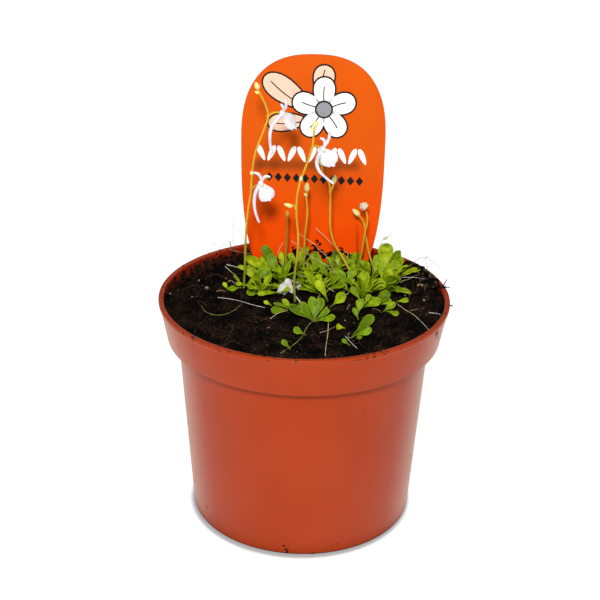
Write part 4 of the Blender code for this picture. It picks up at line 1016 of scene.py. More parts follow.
def add_tubes(bm, routes, steps, roundness=2):
    """Adds closed round tubes along smooth curves. A route is its points and their radii."""
    data = bpy.data.curves.new("tubes", "CURVE")
    data.dimensions = "3D"
    data.resolution_u = steps
    data.bevel_depth = MM
    data.bevel_resolution = roundness
    data.use_fill_caps = True
    for points, radii in routes:
        spline = data.splines.new("BEZIER")
        spline.bezier_points.add(len(points) - 1)
        for knot, point, radius in zip(spline.bezier_points, points, radii):
            knot.co = at(point)
            knot.radius = radius
            knot.handle_left_type = knot.handle_right_type = "AUTO"
    guide = add_object("tubes", data)
    bpy.context.view_layer.update()
    mesh = evaluated_mesh(guide)
    bpy.data.objects.remove(guide)
    tubes = bmesh.new()
    tubes.from_mesh(mesh)
    bmesh.ops.remove_doubles(tubes, verts=tubes.verts[:], dist=WELD)
    face_outward(tubes)
    tubes.to_mesh(mesh)
    tubes.free()
    bm.from_mesh(mesh)
    bpy.data.meshes.remove(mesh)


def add_post(bm, centre, low_radius, high_radius, depth, sides):
    """Adds an upright post; its sizes are in millimetres."""
    bmesh.ops.create_cone(
        bm, cap_ends=True, segments=sides, radius1=low_radius * MM, radius2=high_radius * MM,
        depth=depth * MM, matrix=Matrix.Translation(at(centre)),
    )


def around(reach, turn):
    """The place at a distance from the axis, turned by an angle in radians."""
    return reach * math.cos(turn), reach * math.sin(turn)


def tapering(radius, taper, points):
    """The radius at each point of a route that grows slimmer towards its end."""
    last = len(points) - 1
    return [radius * (1 - taper * index / last) for index in range(last + 1)]


def add_egg(bm, centre, half_length, half_width, way, taper=0.25):
    """Adds a closed egg-shaped bud, narrower towards the way it points."""
    made = bmesh.ops.create_uvsphere(bm, u_segments=12, v_segments=9, radius=MM)["verts"]
    for corner in made:
        narrow = 1 - taper * corner.co.z / MM
        corner.co.x *= half_width * narrow
        corner.co.y *= half_width * narrow
        corner.co.z *= half_length
    turn = Vector(way).to_track_quat("Z", "Y").to_matrix()
    bmesh.ops.rotate(bm, verts=made, cent=(0, 0, 0), matrix=turn)
    bmesh.ops.translate(bm, verts=made, vec=at(centre))


def thicken(bm, thickness):
    """Gives open sheets their thickness, on the side that their faces look away from."""
    sheet = bm.faces[:] + bm.edges[:] + bm.verts[:]
    bmesh.ops.solidify(bm, geom=sheet, thickness=thickness)
    face_outward(bm)


def inner_radius(z):
    """The pot's inside radius at a height."""
    if z > LEDGE_Z:
        part = (z - LEDGE_Z) / (POT_HEIGHT - EDGE_ROUND - LEDGE_Z)
        return LEDGE_RADIUS + (RIM_RADIUS - LIP_WIDTH - LEDGE_RADIUS) * part
    return BASE_RADIUS + (BODY_TOP_RADIUS - BASE_RADIUS) * z / COLLAR_FOOT_Z - POT_WALL


def mound(x, y, centre_x, centre_y, reach_x, reach_y, height):
    """A soft hill in the peat."""
    across = ((x - centre_x) / reach_x) ** 2 + ((y - centre_y) / reach_y) ** 2
    return height * math.exp(-across)


def peat_height(x, y):
    """The height of the peat: heaped behind the plants and against the rim at the right."""
    return (
        PEAT_LEVEL
        + mound(x, y, 2, 38, 31, 15, 2.9)
        + mound(x, y, 42, 5, 12, 23, 3.9)
        + mound(x, y, 8, 8, 20, 16, 0.9)
        + mound(x, y, -42, -4, 9, 15, 2.9)
        + 0.32 * math.sin(0.45 * x + 1.1) * math.cos(0.38 * y + 0.4)
        + 0.22 * math.sin(0.37 * x - 0.55 * y + 2.0)
        + 0.16 * math.sin(0.62 * x + 0.29 * y)
    )


LARGE_CRUMB = 0.4
BATCH = 60


def crumble(x, y, clods):
    """The fine unevenness of the peat at a place: clods, crumbs and grains."""
    coarse = noise.noise(Vector((x, y, 3.1)) * 0.30)
    lumps = 0.45 - noise.voronoi(Vector((x, y, 0.7)) * 0.55)[0][0]
    crumbs = 0.45 - noise.voronoi(Vector((x, y, 5.2)) * 1.25)[0][0]
    grains = noise.noise(Vector((x, y, 8.4)) * 3.1)
    return clods * (0.55 * coarse + 0.85 * lumps + 0.5 * crumbs + 0.16 * grains) - 0.25 * clods


def pot_profile():
    """Half the pot's section: raised floor, foot ring, body, collar, lip, ledge and inside."""
    lip_z = POT_HEIGHT - LIP_DEPTH
    return (
        (0, FLOOR_RISE),
        (BASE_RADIUS - FOOT_RING_WIDTH, FLOOR_RISE),
        (BASE_RADIUS - FOOT_RING_WIDTH, 0),
        (BASE_RADIUS, 0),
        (BODY_TOP_RADIUS, COLLAR_FOOT_Z),
        (COLLAR_FOOT_RADIUS, COLLAR_FOOT_Z),
        (RIM_RADIUS - LIP_OVERHANG, lip_z),
        (RIM_RADIUS, lip_z + EDGE_ROUND / 2),
        (RIM_RADIUS, POT_HEIGHT),
        (RIM_RADIUS - LIP_WIDTH, POT_HEIGHT),
        (LEDGE_RADIUS, LEDGE_Z),
        (BODY_TOP_RADIUS - POT_WALL, LEDGE_Z),
        (inner_radius(FLOOR_TOP), FLOOR_TOP),
        (0, FLOOR_TOP),
    )


def drain_cutters():
    """Upright cylinders where the floor has its drain holes: a ring of them round one."""
    bm = bmesh.new()
    for index in range(DRAIN_HOLES + 1):
        turn = 2 * math.pi * index / DRAIN_HOLES
        reach = 0 if index == DRAIN_HOLES else DRAIN_CIRCLE_RADIUS
        centre = (*around(reach, turn), 0)
        add_post(bm, centre, DRAIN_RADIUS, DRAIN_RADIUS, 4 * FLOOR_TOP, DRAIN_SIDES)
    return bm


def add_pot(settings):
    """The pot, turned and rounded, with its drain holes cut."""
    bm = turned(pot_profile(), settings.sides)
    round_edges(bm, 20, settings.edge_round, 3)
    base = add_object("pot_blank", mesh_of(bm, "pot_blank"))
    cutter = add_object("drains", mesh_of(drain_cutters(), "drains"))
    cut = base.modifiers.new("drains", "BOOLEAN")
    cut.operation = "DIFFERENCE"
    cut.object = cutter
    bpy.context.view_layer.update()
    finished = bmesh.new()
    finished.from_mesh(evaluated_mesh(base))
    bpy.data.objects.remove(base)
    bpy.data.objects.remove(cutter)
    new_piece(finished, "pot_moulded", pot_material(settings), ("pot",), sharp=35)


def add_peat_surface(settings, material):
    """The peat: it fills the pot, with a crumbled top."""
    edge = inner_radius(PEAT_LEVEL) - GAP / 3
    profile = [(edge * ring / settings.rings, PEAT_LEVEL) for ring in range(settings.rings + 1)]
    profile += [
        (LEDGE_RADIUS - GAP, LEDGE_Z + GAP),
        (BODY_TOP_RADIUS - POT_WALL - GAP, LEDGE_Z + GAP),
        (inner_radius(FLOOR_TOP) - GAP, FLOOR_TOP + GAP),
        (0, FLOOR_TOP + GAP),
    ]
    bm = turned(profile, settings.sides)
    for corner in bm.verts:
        if corner.co.z > (PEAT_LEVEL - GAP) * MM:
            x, y = corner.co.x / MM, corner.co.y / MM
            height = peat_height(x, y) + crumble(x, y, settings.clods / MM)
            reach = math.hypot(x, y)
            if reach > edge - GAP:
                grown = (inner_radius(height) - GAP / 3) / reach
                corner.co.x *= grown
                corner.co.y *= grown
            corner.co.z = height * MM
    new_piece(bm, "peat_crumbled", material, ("peat",))


def add_crumb(bm, draw, centre, radius):
    """Adds one small angular crumb; a large one gets a finer, rougher surface."""
    fine = 2 if radius > LARGE_CRUMB else 1
    made = bmesh.ops.create_icosphere(bm, subdivisions=fine, radius=radius * MM)["verts"]
    stretch = Vector((draw.uniform(0.7, 1.4), draw.uniform(0.7, 1.3), draw.uniform(0.5, 1.0)))
    turn = Matrix.Rotation(draw.uniform(0, math.pi), 3, "Z")
    for corner in made:
        grown = corner.co * draw.uniform(0.72, 1.15)
        corner.co = turn @ Vector(a * b for a, b in zip(grown, stretch)) + at(centre)


def strew(bm, draw, spots):
    """Adds a crumb at every spot, given as its centre and radius. Small batches keep it quick."""
    mesh = bpy.data.meshes.new("batch")
    for start in range(0, len(spots), BATCH):
        batch = bmesh.new()
        for centre, radius in spots[start:start + BATCH]:
            add_crumb(batch, draw, centre, radius)
        batch.to_mesh(mesh)
        batch.free()
        bm.from_mesh(mesh)
    bpy.data.meshes.remove(mesh)


CRUMB_SEED = 11
CRUMB_CIRCLE = 42.0
FIBRE_SEED = 23
FIBRE_CIRCLE = 40.0
FIBRE_LIMIT = 42.2
FIBRE_POINTS = 5


def scattered(draw, circle):
    """A place drawn evenly over a round area, and its distance from the middle."""
    reach = circle * math.sqrt(draw.random())
    return *around(reach, draw.uniform(0, 2 * math.pi)), reach


def add_crumbs(settings, material):
    """Loose crumbs strewn over the peat."""
    draw = random.Random(CRUMB_SEED)
    clods = settings.clods / MM
    spots = []
    for _ in range(settings.crumbs):
        x, y, reach = scattered(draw, CRUMB_CIRCLE)
        radius = 0.15 + 0.75 * draw.random() ** 4
        height = peat_height(x, y) + crumble(x, y, clods) + 0.3 * radius
        if reach + radius < inner_radius(height):
            spots.append(((x, y, height), radius))
    bm = bmesh.new()
    strew(bm, draw, spots)
    new_piece(bm, "peat_crumbs", material)


def fibre_points(draw, clods):
    """The points of one bent fibre on the peat; fewer where it would leave the pot."""
    x, y, _ = scattered(draw, FIBRE_CIRCLE)
    heading = draw.uniform(0, 2 * math.pi)
    step = draw.uniform(0.5, 1.7)
    arch = draw.uniform(0.0, 0.9)
    points = []
    for index in range(FIBRE_POINTS):
        if math.hypot(x, y) > FIBRE_LIMIT:
            break
        lift = arch * math.sin(math.pi * index / (FIBRE_POINTS - 1)) + 0.06
        points.append((x, y, peat_height(x, y) + crumble(x, y, clods) + lift))
        heading += draw.uniform(-0.5, 0.5)
        x += step * math.cos(heading)
        y += step * math.sin(heading)
    return points


def add_fibres(settings):
    """Brown fibres that lie on the peat and stick out of it."""
    draw = random.Random(FIBRE_SEED)
    routes = []
    for _ in range(settings.fibres):
        points = fibre_points(draw, settings.clods / MM)
        if len(points) > 2:
            routes.append((points, [draw.uniform(0.05, 0.12)] * len(points)))
    bm = bmesh.new()
    add_tubes(bm, routes, 2, 1)
    brown = settings.fibre
    new_piece(bm, "peat_fibres", fibre_material("peat_fibre", dimmed(brown, 0.35), brown))


def label_half_width(z):
    """Half the label's width at a height: round shoulders, full sides, then a long stake."""
    if z > LABEL_WIDEST_Z:
        part = (z - LABEL_WIDEST_Z) / (LABEL_TOP_Z - LABEL_WIDEST_Z)
        left_over = max(0.0, 1 - part**LABEL_SHOULDER_POWER)
        return LABEL_HALF_WIDTH * left_over ** (1 / LABEL_SHOULDER_POWER)
    if z > LABEL_PEAT_Z:
        part = (LABEL_WIDEST_Z - z) / (LABEL_WIDEST_Z - LABEL_PEAT_Z)
        return LABEL_HALF_WIDTH - (LABEL_HALF_WIDTH - LABEL_PEAT_HALF_WIDTH) * part**3
    part = (z - LABEL_TIP_Z) / (LABEL_PEAT_Z - LABEL_TIP_Z)
    return LABEL_TIP_HALF_WIDTH + (LABEL_PEAT_HALF_WIDTH - LABEL_TIP_HALF_WIDTH) * part


def label_outline():
    """The label's outline, anticlockwise seen from the front, as pairs across and up."""
    shoulder_steps, side_steps = 30, 14
    rise = LABEL_TOP_Z - LABEL_WIDEST_Z
    shoulder = [
        LABEL_WIDEST_Z + rise * math.sin(math.pi / 2 * step / shoulder_steps)
        for step in range(shoulder_steps)
    ]
    side = [
        LABEL_PEAT_Z + (LABEL_WIDEST_Z - LABEL_PEAT_Z) * step / side_steps
        for step in range(side_steps)
    ]
    right = [(label_half_width(z), z) for z in [LABEL_TIP_Z] + side + shoulder]
    left = [(-half, z) for half, z in reversed(right)]
    return right + [(0.0, LABEL_TOP_Z)] + left


def stand_up(bm, corners):
    """Leans what was drawn on the label's own plane back and sets it in its place."""
    bmesh.ops.rotate(
        bm, verts=corners, cent=(0, 0, 0),
        matrix=Matrix.Rotation(-math.radians(LABEL_BACKWARD_LEAN), 3, "X"),
    )
    bmesh.ops.translate(bm, verts=corners, vec=at((LABEL_CENTRE_X, LABEL_Y, LABEL_PEAT_Z)))


def add_plate(bm, outline, near, far):
    """Adds a flat shape on the label's plane between two depths, in metres, and stands it up."""
    corners = [bm.verts.new((u * MM, near, (z - LABEL_PEAT_Z) * MM)) for u, z in outline]
    face = bm.faces.new(corners)
    grown = bmesh.ops.extrude_face_region(bm, geom=[face])
    moved = [item for item in grown["geom"] if isinstance(item, bmesh.types.BMVert)]
    bmesh.ops.translate(bm, verts=moved, vec=(0, far - near, 0))
    stand_up(bm, corners + moved)


def add_label_plate(settings):
    """The label's plate with rounded edges."""
    half = settings.thickness / 2
    bm = bmesh.new()
    add_plate(bm, label_outline(), -half, half)
    face_outward(bm)
    round_edges(bm, 60, settings.edge_round, 3)
    new_piece(bm, "label_plate", label_material(settings), ("label",), sharp=40)


def point_along(x, z, reach, angle):
    """The point at a distance from another, along an angle in degrees."""
    across, up = around(reach, math.radians(angle))
    return x + across, z + up


def petal_outline(x, z, reach, half_width, angle, grow=0.0, steps=26):
    """A rounded petal that grows from a point along an angle in degrees."""
    turn = math.radians(angle)
    points = []
    for step in range(steps):
        way = 2 * math.pi * step / steps
        along = reach / 2 * (1 - math.cos(way))
        wide = half_width * math.sin(way) * (0.55 + 0.45 * along / reach)
        along += -grow * math.cos(way)
        wide += grow * math.sin(way)
        points.append((
            x + along * math.cos(turn) - wide * math.sin(turn),
            z + along * math.sin(turn) + wide * math.cos(turn),
        ))
    return points


def disc_outline(x, z, radius, steps=28):
    """A round spot."""
    return [point_along(x, z, radius, 360 * step / steps) for step in range(steps)]


def stroke_outline(points, width):
    """A drawn line of even width through its points."""
    left, right = [], []
    for index, (x, z) in enumerate(points):
        before = points[max(index - 1, 0)]
        after = points[min(index + 1, len(points) - 1)]
        way = Vector((after[0] - before[0], after[1] - before[1])).normalized()
        side = Vector((-way.y, way.x)) * width / 2
        left.append((x + side.x, z + side.y))
        right.append((x - side.x, z - side.y))
    return left + right[::-1]


def arc_points(start, end, bulge, steps=10):
    """Points of a shallow bow between two points."""
    a, b = Vector(start), Vector(end)
    side = Vector((-(b - a).y, (b - a).x))
    return [
        tuple(a.lerp(b, step / steps) + side * bulge * math.sin(math.pi * step / steps))
        for step in range(steps + 1)
    ]


# The print: a blossom with five petals over three leaves, a row of small leaves and a row of
# lozenges that sinks a little to the right
BLOSSOM = (3.2, 121.6)
BLOSSOM_PETALS = 5
PETAL_REACH = 10.2
PETAL_HALF_WIDTH = 4.1
HEART_RADIUS = 2.35
VEIN_WIDTH = 0.35
VEIN_START = 2.4
PETAL_VEIN_END = 0.72
LEAF_VEIN_END = 0.86
BLOSSOM_LEAVES = ((-1.6, 122.2, 17.0, 4.7, 146), (2.4, 126.0, 9.6, 4.0, 84),
                  (-2.4, 118.0, 12.0, 3.4, 186))
LINE_WIDTH = 0.55
SPRAY_LEAVES = 11
SPRAY_LEFT = -16.6
SPRAY_STEP = 3.25
SPRAY_Z = 104.6
SPRAY_REACH = 5.6
SPRAY_HALF_WIDTH = 1.15
SPRAY_TILT = 24
SPRAY_SINK = 0.1
LOZENGES = 11
LOZENGE_LEFT = -14.0
LOZENGE_STEP = 2.92
LOZENGE_Z = 99.2
LOZENGE_HALF_HEIGHT = 1.55
LOZENGE_HALF_WIDTH = 1.2
LOZENGE_SINK = 0.12


def outlined(shape, layer, ink):
    """A petal or leaf of the print over its black outline, as two shapes."""
    return [
        ("black", layer, petal_outline(*shape, grow=LINE_WIDTH)),
        (ink, layer + 1, petal_outline(*shape)),
    ]


def vein(root, tip, bulge, layer):
    """The bowed black line down a petal or leaf of the print."""
    return ("black", layer, stroke_outline(arc_points(root, tip, bulge), VEIN_WIDTH))


def blossom_shapes():
    """The printed blossom and the leaves behind it."""
    x, z = BLOSSOM
    shapes = []
    for index in range(BLOSSOM_PETALS):
        angle = 90 + 360 * index / BLOSSOM_PETALS
        shapes += outlined((x, z, PETAL_REACH, PETAL_HALF_WIDTH, angle), 4, "white")
        root = point_along(x, z, VEIN_START, angle)
        tip = point_along(x, z, PETAL_VEIN_END * PETAL_REACH, angle)
        shapes.append(vein(root, tip, 0.04, 6))
    shapes.append(("black", 7, disc_outline(x, z, HEART_RADIUS + LINE_WIDTH)))
    shapes.append(("grey", 8, disc_outline(x, z, HEART_RADIUS)))
    for leaf in BLOSSOM_LEAVES:
        shapes += outlined(leaf, 1, "blush")
        tip = point_along(leaf[0], leaf[1], LEAF_VEIN_END * leaf[2], leaf[4])
        shapes.append(vein(leaf[:2], tip, 0.06, 3))
    return shapes


def row_shapes():
    """The printed row of small leaves and the row of lozenges under it."""
    shapes = []
    for index in range(SPRAY_LEAVES):
        angle = 90 + SPRAY_TILT * (-1) ** index
        middle = SPRAY_LEFT + SPRAY_STEP * index
        root = middle - SPRAY_REACH / 2 * math.cos(math.radians(angle))
        small = (root, SPRAY_Z - SPRAY_SINK * index, SPRAY_REACH, SPRAY_HALF_WIDTH, angle)
        shapes.append(("white", 1, petal_outline(*small)))
    for index in range(LOZENGES):
        x = LOZENGE_LEFT + LOZENGE_STEP * index
        z = LOZENGE_Z - LOZENGE_SINK * index
        shapes.append(("black", 1, [
            (x - LOZENGE_HALF_WIDTH, z), (x, z - LOZENGE_HALF_HEIGHT),
            (x + LOZENGE_HALF_WIDTH, z), (x, z + LOZENGE_HALF_HEIGHT),
        ]))
    return shapes


def add_print(settings):
    """The print on the label's front: each shape is an ink, a layer and an outline, and a
    higher layer stands farther out, so that no two lie on one plane."""
    front = -settings.thickness / 2
    shapes = blossom_shapes() + row_shapes()
    for ink in ("black", "white", "blush", "grey"):
        bm = bmesh.new()
        for kind, layer, outline in shapes:
            if kind == ink:
                add_plate(bm, outline, front, front - layer * settings.print_height)
        face_outward(bm)
        bmesh.ops.triangulate(bm, faces=bm.faces[:], ngon_method="EAR_CLIP")
        material = ink_material(f"ink_{ink}", getattr(settings, ink))
        new_piece(bm, f"label_print_{ink}", material, sharp=40)


def blade_half_width(part, widest):
    """Half a leaf's width along its length: a slim stalk that opens into a rounded spoon."""
    spoon = math.sin(math.pi * min(part, BLADE_END) ** 2.2) ** 0.62
    return max(PETIOLE_HALF_WIDTH, widest * spoon)


# How a leaf's bend grows towards its tip
LEAF_ARCH = 1.4


def leaning(azimuth, angle):
    """A way that looks along an azimuth and rises by an angle."""
    flat = Vector((math.cos(azimuth), math.sin(azimuth), 0))
    return flat * math.cos(angle) + Vector((0, 0, math.sin(angle)))


def leaf_spine(root, leaf, parts, grown=1.0):
    """The points of a leaf's midrib at the given parts of its length, and the angles between."""
    azimuth, rise, bend, reach = leaf[:4]
    spine, angles = [Vector(root)], []
    for before, after in zip(parts, parts[1:]):
        angle = rise - bend * ((before + after) / 2) ** LEAF_ARCH
        angles.append(angle)
        step = leaning(azimuth, angle) * (after - before) * reach * grown
        spine.append(spine[-1] + step)
    return spine, angles


def leaf_frame(azimuth, angle, tilt):
    """The way across a leaf and the way out of its face."""
    ways = Vector((math.cos(azimuth), math.sin(azimuth), 0))
    side = Vector((-math.sin(azimuth), math.cos(azimuth), 0))
    up = ways * -math.sin(angle) + Vector((0, 0, math.cos(angle)))
    cross = side * math.cos(tilt) + up * math.sin(tilt)
    return cross, up * math.cos(tilt) - side * math.sin(tilt)


def blade(root, leaf, thickness, margin):
    """A plain arched leaf that keeps the leaf's room: root, then azimuth, rise, bend, length,
    half width, cup and roll."""
    azimuth, _, _, reach, widest, cup, roll = leaf
    rows = len(BLADE_STATIONS) - 1
    bm = bmesh.new()
    bmesh.ops.create_grid(bm, x_segments=2, y_segments=rows, size=1.0)
    spine, angles = leaf_spine(root, leaf, BLADE_STATIONS, (reach + margin) / reach)
    angles.append(angles[-1])
    for corner in bm.verts:
        row = round((corner.co.y + 1) / 2 * rows)
        part = BLADE_STATIONS[row]
        cross, lift = leaf_frame(azimuth, angles[row], roll * part)
        half = -(blade_half_width(part, widest) + margin) * corner.co.x
        raised = lift * (cup * abs(half) * part + thickness / 2)
        corner.co = (spine[row] + cross * half + raised) * MM
    bmesh.ops.triangulate(bm, faces=bm.faces[:])
    thicken(bm, thickness * MM)
    return bm


def lies_free(bm, root, taken):
    """Whether a leaf keeps off the peat, the rim and every piece placed before it."""
    crown = Vector(root) * MM
    for corner in bm.verts:
        x, y, z = corner.co / MM
        away = math.hypot(corner.co.x - crown.x, corner.co.y - crown.y) / MM
        if away > CROWN_RADIUS + GAP and z < peat_height(x, y) + PEAT_CLEARANCE:
            return False
        if math.hypot(x, y) > inner_radius(z) - GAP:
            return False
    tree = BVHTree.FromBMesh(bm)
    return not any(tree.overlap(other) for other in taken)


def meets(bm, root, reach, others):
    """Whether a leaf crosses another leaf of its own tuft farther from the root than reach."""
    bm.faces.ensure_lookup_table()
    tree = BVHTree.FromBMesh(bm)
    crown = Vector(root) * MM
    for other in others:
        for index, _ in tree.overlap(other):
            if (bm.faces[index].calc_center_median() - crown).length > reach * MM:
                return True
    return False


def fits(root, leaf, taken, others):
    """The leaf's own search tree where there is room for it, or nothing where there isn't."""
    shell = blade(root, leaf, BLADE_THICKNESS + 2 * GAP, GAP)
    free = lies_free(shell, root, taken)
    shell.free()
    if not free:
        return None
    thin = blade(root, leaf, BLADE_THICKNESS + GAP, GAP / 2)
    stalk_length = 0.8 * BLADE_STATIONS[1] * leaf[3]
    tree = None if meets(thin, root, stalk_length, others) else BVHTree.FromBMesh(thin)
    thin.free()
    return tree


def tuft_leaves(tuft, taken):
    """The leaves of one tuft, each turned, raised or shortened until it finds room."""
    draw = random.Random(f"{tuft.name} {LEAF_SEED}")
    root = (tuft.x, tuft.y, peat_height(tuft.x, tuft.y) + 0.5 * CROWN_RISE)
    placed, trees = [], []
    for index in range(tuft.leaves):
        part = (index + 0.5) / tuft.leaves - 0.5
        azimuth = tuft.facing + tuft.spread * part + draw.uniform(-10, 10)
        low = index % 2 or tuft.leaves < LEAVES_TO_STAND_UP
        rise = draw.uniform(26, 42) if low else draw.uniform(50, 74)
        size = tuft.length * draw.uniform(0.76, 1.04)
        widest = size * draw.uniform(0.19, 0.25)
        bend = draw.uniform(15, 45)
        cup, roll = draw.uniform(0.05, 0.35), draw.uniform(-0.5, 0.5)
        for attempt in range(LEAF_TRIES):
            leaf = (
                math.radians(azimuth + LEAF_TURN * attempt * (-1) ** attempt),
                math.radians(min(85, rise + 2 * attempt)),
                math.radians(bend), size * 0.985**attempt, widest * 0.975**attempt, cup, roll,
            )
            tree = fits(root, leaf, taken, trees)
            if tree:
                placed.append(leaf)
                trees.append(tree)
                break
    return root, placed


def infill_leaves(tuft, count):
    """Small young leaves that fill the heart and the foot of a tuft."""
    draw = random.Random(f"{tuft.name} young")
    leaves = []
    for index in range(round(count * min(1.0, tuft.leaves / 9))):
        size = tuft.length * draw.uniform(0.36, 0.74)
        leaves.append((
            math.radians(tuft.facing + tuft.spread * ((index + 0.5) / count - 0.5) * 1.3
                         + draw.uniform(-25, 25)),
            math.radians(draw.uniform(28, 80)), math.radians(draw.uniform(10, 60)), size,
            size * draw.uniform(0.16, 0.25), draw.uniform(0.05, 0.4), draw.uniform(-0.8, 0.8),
        ))
    return leaves


def spoon_half_width(part, widest):
    """Half the width of a finely made leaf: a slim stalk that widens to a broad round end."""
    swell = math.sin(math.pi * min(part, 0.999) ** 2.2)
    spoon = swell ** (0.8 if part < 0.73 else 0.5)
    slim = 0.20 + 0.08 * math.cos(math.pi * min(1.0, 2 * part))
    return max(slim * min(1.0, 6 * (1.001 - part)), widest * spoon)


# How far a leaf's edge wanders and its blade crinkles, as shares of its half width
LEAF_UNEVEN = 0.34
LEAF_CRINKLE = 0.55
LEAF_LAYERS = ("along", "across", "tone")


def add_leaf(bm, root, leaf, settings, draw, tone=None):
    """Adds one thin leaf as an open sheet with its place along, place across and tone."""
    azimuth, rise, _, _, widest, cup, roll = leaf
    layers = [bm.verts.layers.float[name] for name in LEAF_LAYERS]
    tone = draw.uniform(0.32, 0.92) if tone is None else tone
    wave, phase = draw.uniform(0.04, 0.26), draw.uniform(0, 6.3)
    rows, columns = settings.rows, settings.columns
    made = bmesh.ops.create_grid(bm, x_segments=columns, y_segments=rows, size=1.0)["verts"]
    parts = [math.sin(math.pi / 2 * row / rows) for row in range(rows + 1)]
    spine, angles = leaf_spine(root, leaf, parts)
    angles.insert(0, rise)
    for corner in made:
        row = round((corner.co.y + 1) / 2 * rows)
        part = parts[row]
        cross, lift = leaf_frame(azimuth, angles[row], roll * part)
        out = -corner.co.x
        half = spoon_half_width(part, widest)
        uneven = noise.noise(Vector((2.3 * part, 1.7 * out, 5.0 * phase)))
        half *= 1 + LEAF_UNEVEN * uneven * part
        ripple = wave * half * out * out * math.sin(phase + 9 * part + 1.5 * out)
        fold = cup * half * abs(out) ** 1.5 * part + 0.04 * widest * out * out
        crinkle = LEAF_CRINKLE * half * part * noise.noise(Vector((6 * part, 3 * out, 9 * phase)))
        raised = lift * (fold + ripple + crinkle + settings.thickness / MM / 2)
        for layer, value in zip(layers, (part, abs(out), tone)):
            corner[layer] = value
        corner.co = (spine[row] + cross * half * out + raised) * MM


def tree_of(node):
    """The search tree of a solid's surface."""
    bm = bmesh.new()
    bm.from_mesh(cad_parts[node].data)
    tree = BVHTree.FromBMesh(bm)
    bm.free()
    return tree


def leaf_tree(root, leaf):
    """The search tree of a leaf kept a little clear of its neighbours."""
    thin = blade(root, leaf, 0.5 * BLADE_THICKNESS, 0.0)
    tree = BVHTree.FromBMesh(thin)
    thin.free()
    return tree


PLACED_CUP = 0.14


def placed_leaves(name):
    """The leaves of a tuft that are set one by one: each one's root, form and tone."""
    leaves = []
    for x, y, azimuth, rise, bend, reach, half_width, roll, tone in PLACED_LEAVES.get(name, ()):
        root = (x, y, peat_height(x, y) + 0.2)
        form = (
            math.radians(azimuth), math.radians(rise), math.radians(bend), reach, half_width,
            PLACED_CUP, roll,
        )
        leaves.append((root, form, tone))
    return leaves


# A finely made leaf is a little shorter and narrower than the plain solid round it
GROWN_LEAF_LENGTH = 0.96
GROWN_LEAF_WIDTH = 0.80


def add_tuft(tuft, taken, placed_trees, settings, material):
    """One tuft: a small crown in the peat, the leaves set one by one, and those grown by rule."""
    root, grown = tuft_leaves(tuft, taken)
    taken.append(tree_of(tuft.name))
    draw = random.Random(f"{tuft.name} tone")
    bm = bmesh.new()
    for layer in LEAF_LAYERS:
        bm.verts.layers.float.new(layer)
    for own_root, leaf, tone in placed_leaves(tuft.name):
        add_leaf(bm, own_root, leaf, settings, draw, tone)
    if tuft.name not in OPEN_TUFTS:
        slim = [
            (*leaf[:3], leaf[3] * GROWN_LEAF_LENGTH, leaf[4] * GROWN_LEAF_WIDTH, *leaf[5:])
            for leaf in grown
        ]
        for leaf in slim + infill_leaves(tuft, settings.infill):
            tree = leaf_tree(root, leaf)
            if not any(tree.overlap(other) for other in placed_trees):
                add_leaf(bm, root, leaf, settings, draw)
    thicken(bm, settings.thickness)
    height = CROWN_DEPTH + CROWN_RISE
    buried = CROWN_BURIED if tuft.name in OPEN_TUFTS else 0
    top = root[2] + 0.2 * CROWN_RISE - buried
    centre = (tuft.x, tuft.y, top - height / 2)
    add_post(bm, centre, 0.22 * CROWN_RADIUS, 0.30 * CROWN_RADIUS, height, CROWN_SIDES)
    new_piece(bm, f"{tuft.name}_leaves", material, (tuft.name,))


# The stalks that are golden right down to the leaves
RIPE_STALKS = ("stalk_right", "stalk_withered", "stalk_right_bud")


def add_stalk(name, settings, stem, bud):
    """One flower stalk, and its buds as a piece of their own."""
    route = STALK_ROUTES[name]
    x, y, _ = route[0]
    foot = peat_height(x, y)
    points = [(x, y, foot - STALK_DEPTH), (x, y, foot + GAP)] + list(route[1:])
    shoots = SHOOTS.get(name, ())
    routes = [(points, tapering(STALK_RADIUS * STALK_SLENDER, STALK_TAPER, points))]
    routes += [(shoot, [PEDICEL_RADIUS] * len(shoot)) for shoot in shoots]
    bm = bmesh.new()
    add_tubes(bm, routes, settings.steps, 3)
    for shoot in shoots:
        add_egg(bm, shoot[0], 0.75, 0.42, Vector(shoot[1]) - Vector(shoot[0]))
    new_piece(bm, f"{name}_stem", stem, (name,))
    if name in BUDS:
        bm = bmesh.new()
        for centre, half_length, half_width, way in BUDS[name]:
            add_egg(bm, centre, half_length, half_width, way)
        new_piece(bm, f"{name}_buds", bud)


def add_lip(bm, throat, reach, outward, across, half_width, droop, point, settings):
    """Adds a flower's broad lower lip as an open sheet: lobed and ruffled, and narrower at its
    end the more pointed it is."""
    outward = Vector(outward).normalized()
    across = Vector(across)
    across = (across - across.dot(outward) * outward).normalized()
    facing = outward.cross(across)
    made = bmesh.ops.create_grid(
        bm, x_segments=settings.columns, y_segments=settings.rows, size=1.0
    )["verts"]
    for corner in made:
        v, u = corner.co.x, (corner.co.y + 1) / 2
        ruffle = noise.noise(Vector((2.6 * v, 2.2 * u, reach + 3.0 * throat[0])))
        lobes = 1 - 0.16 * v * v + 0.022 * math.cos(3 * math.pi * v) + 0.10 * ruffle
        reached = reach * u * (1 + (lobes - 1) * u)
        open_end = math.sin(u * math.pi / 2) ** 1.2
        closed_end = math.sin(min(1.0, u**1.3) * math.pi) ** 0.8 + 0.12 * u
        half = 0.6 + (half_width - 0.6) * (open_end + point * (closed_end - open_end))
        sag = droop * reach * u * u + 0.10 * half_width * v * v * u
        crease = (0.30 * ruffle + 0.07 * math.sin(9 * v + 2 * u)) * u
        corner.co = at(throat) + (
            outward * reached + across * v * half - facing * (sag + crease)
        ) * MM


# The finely made lip is a little smaller than the plain solid round it
LIP_SHARE = 0.9
SPUR_TAPER = 0.5


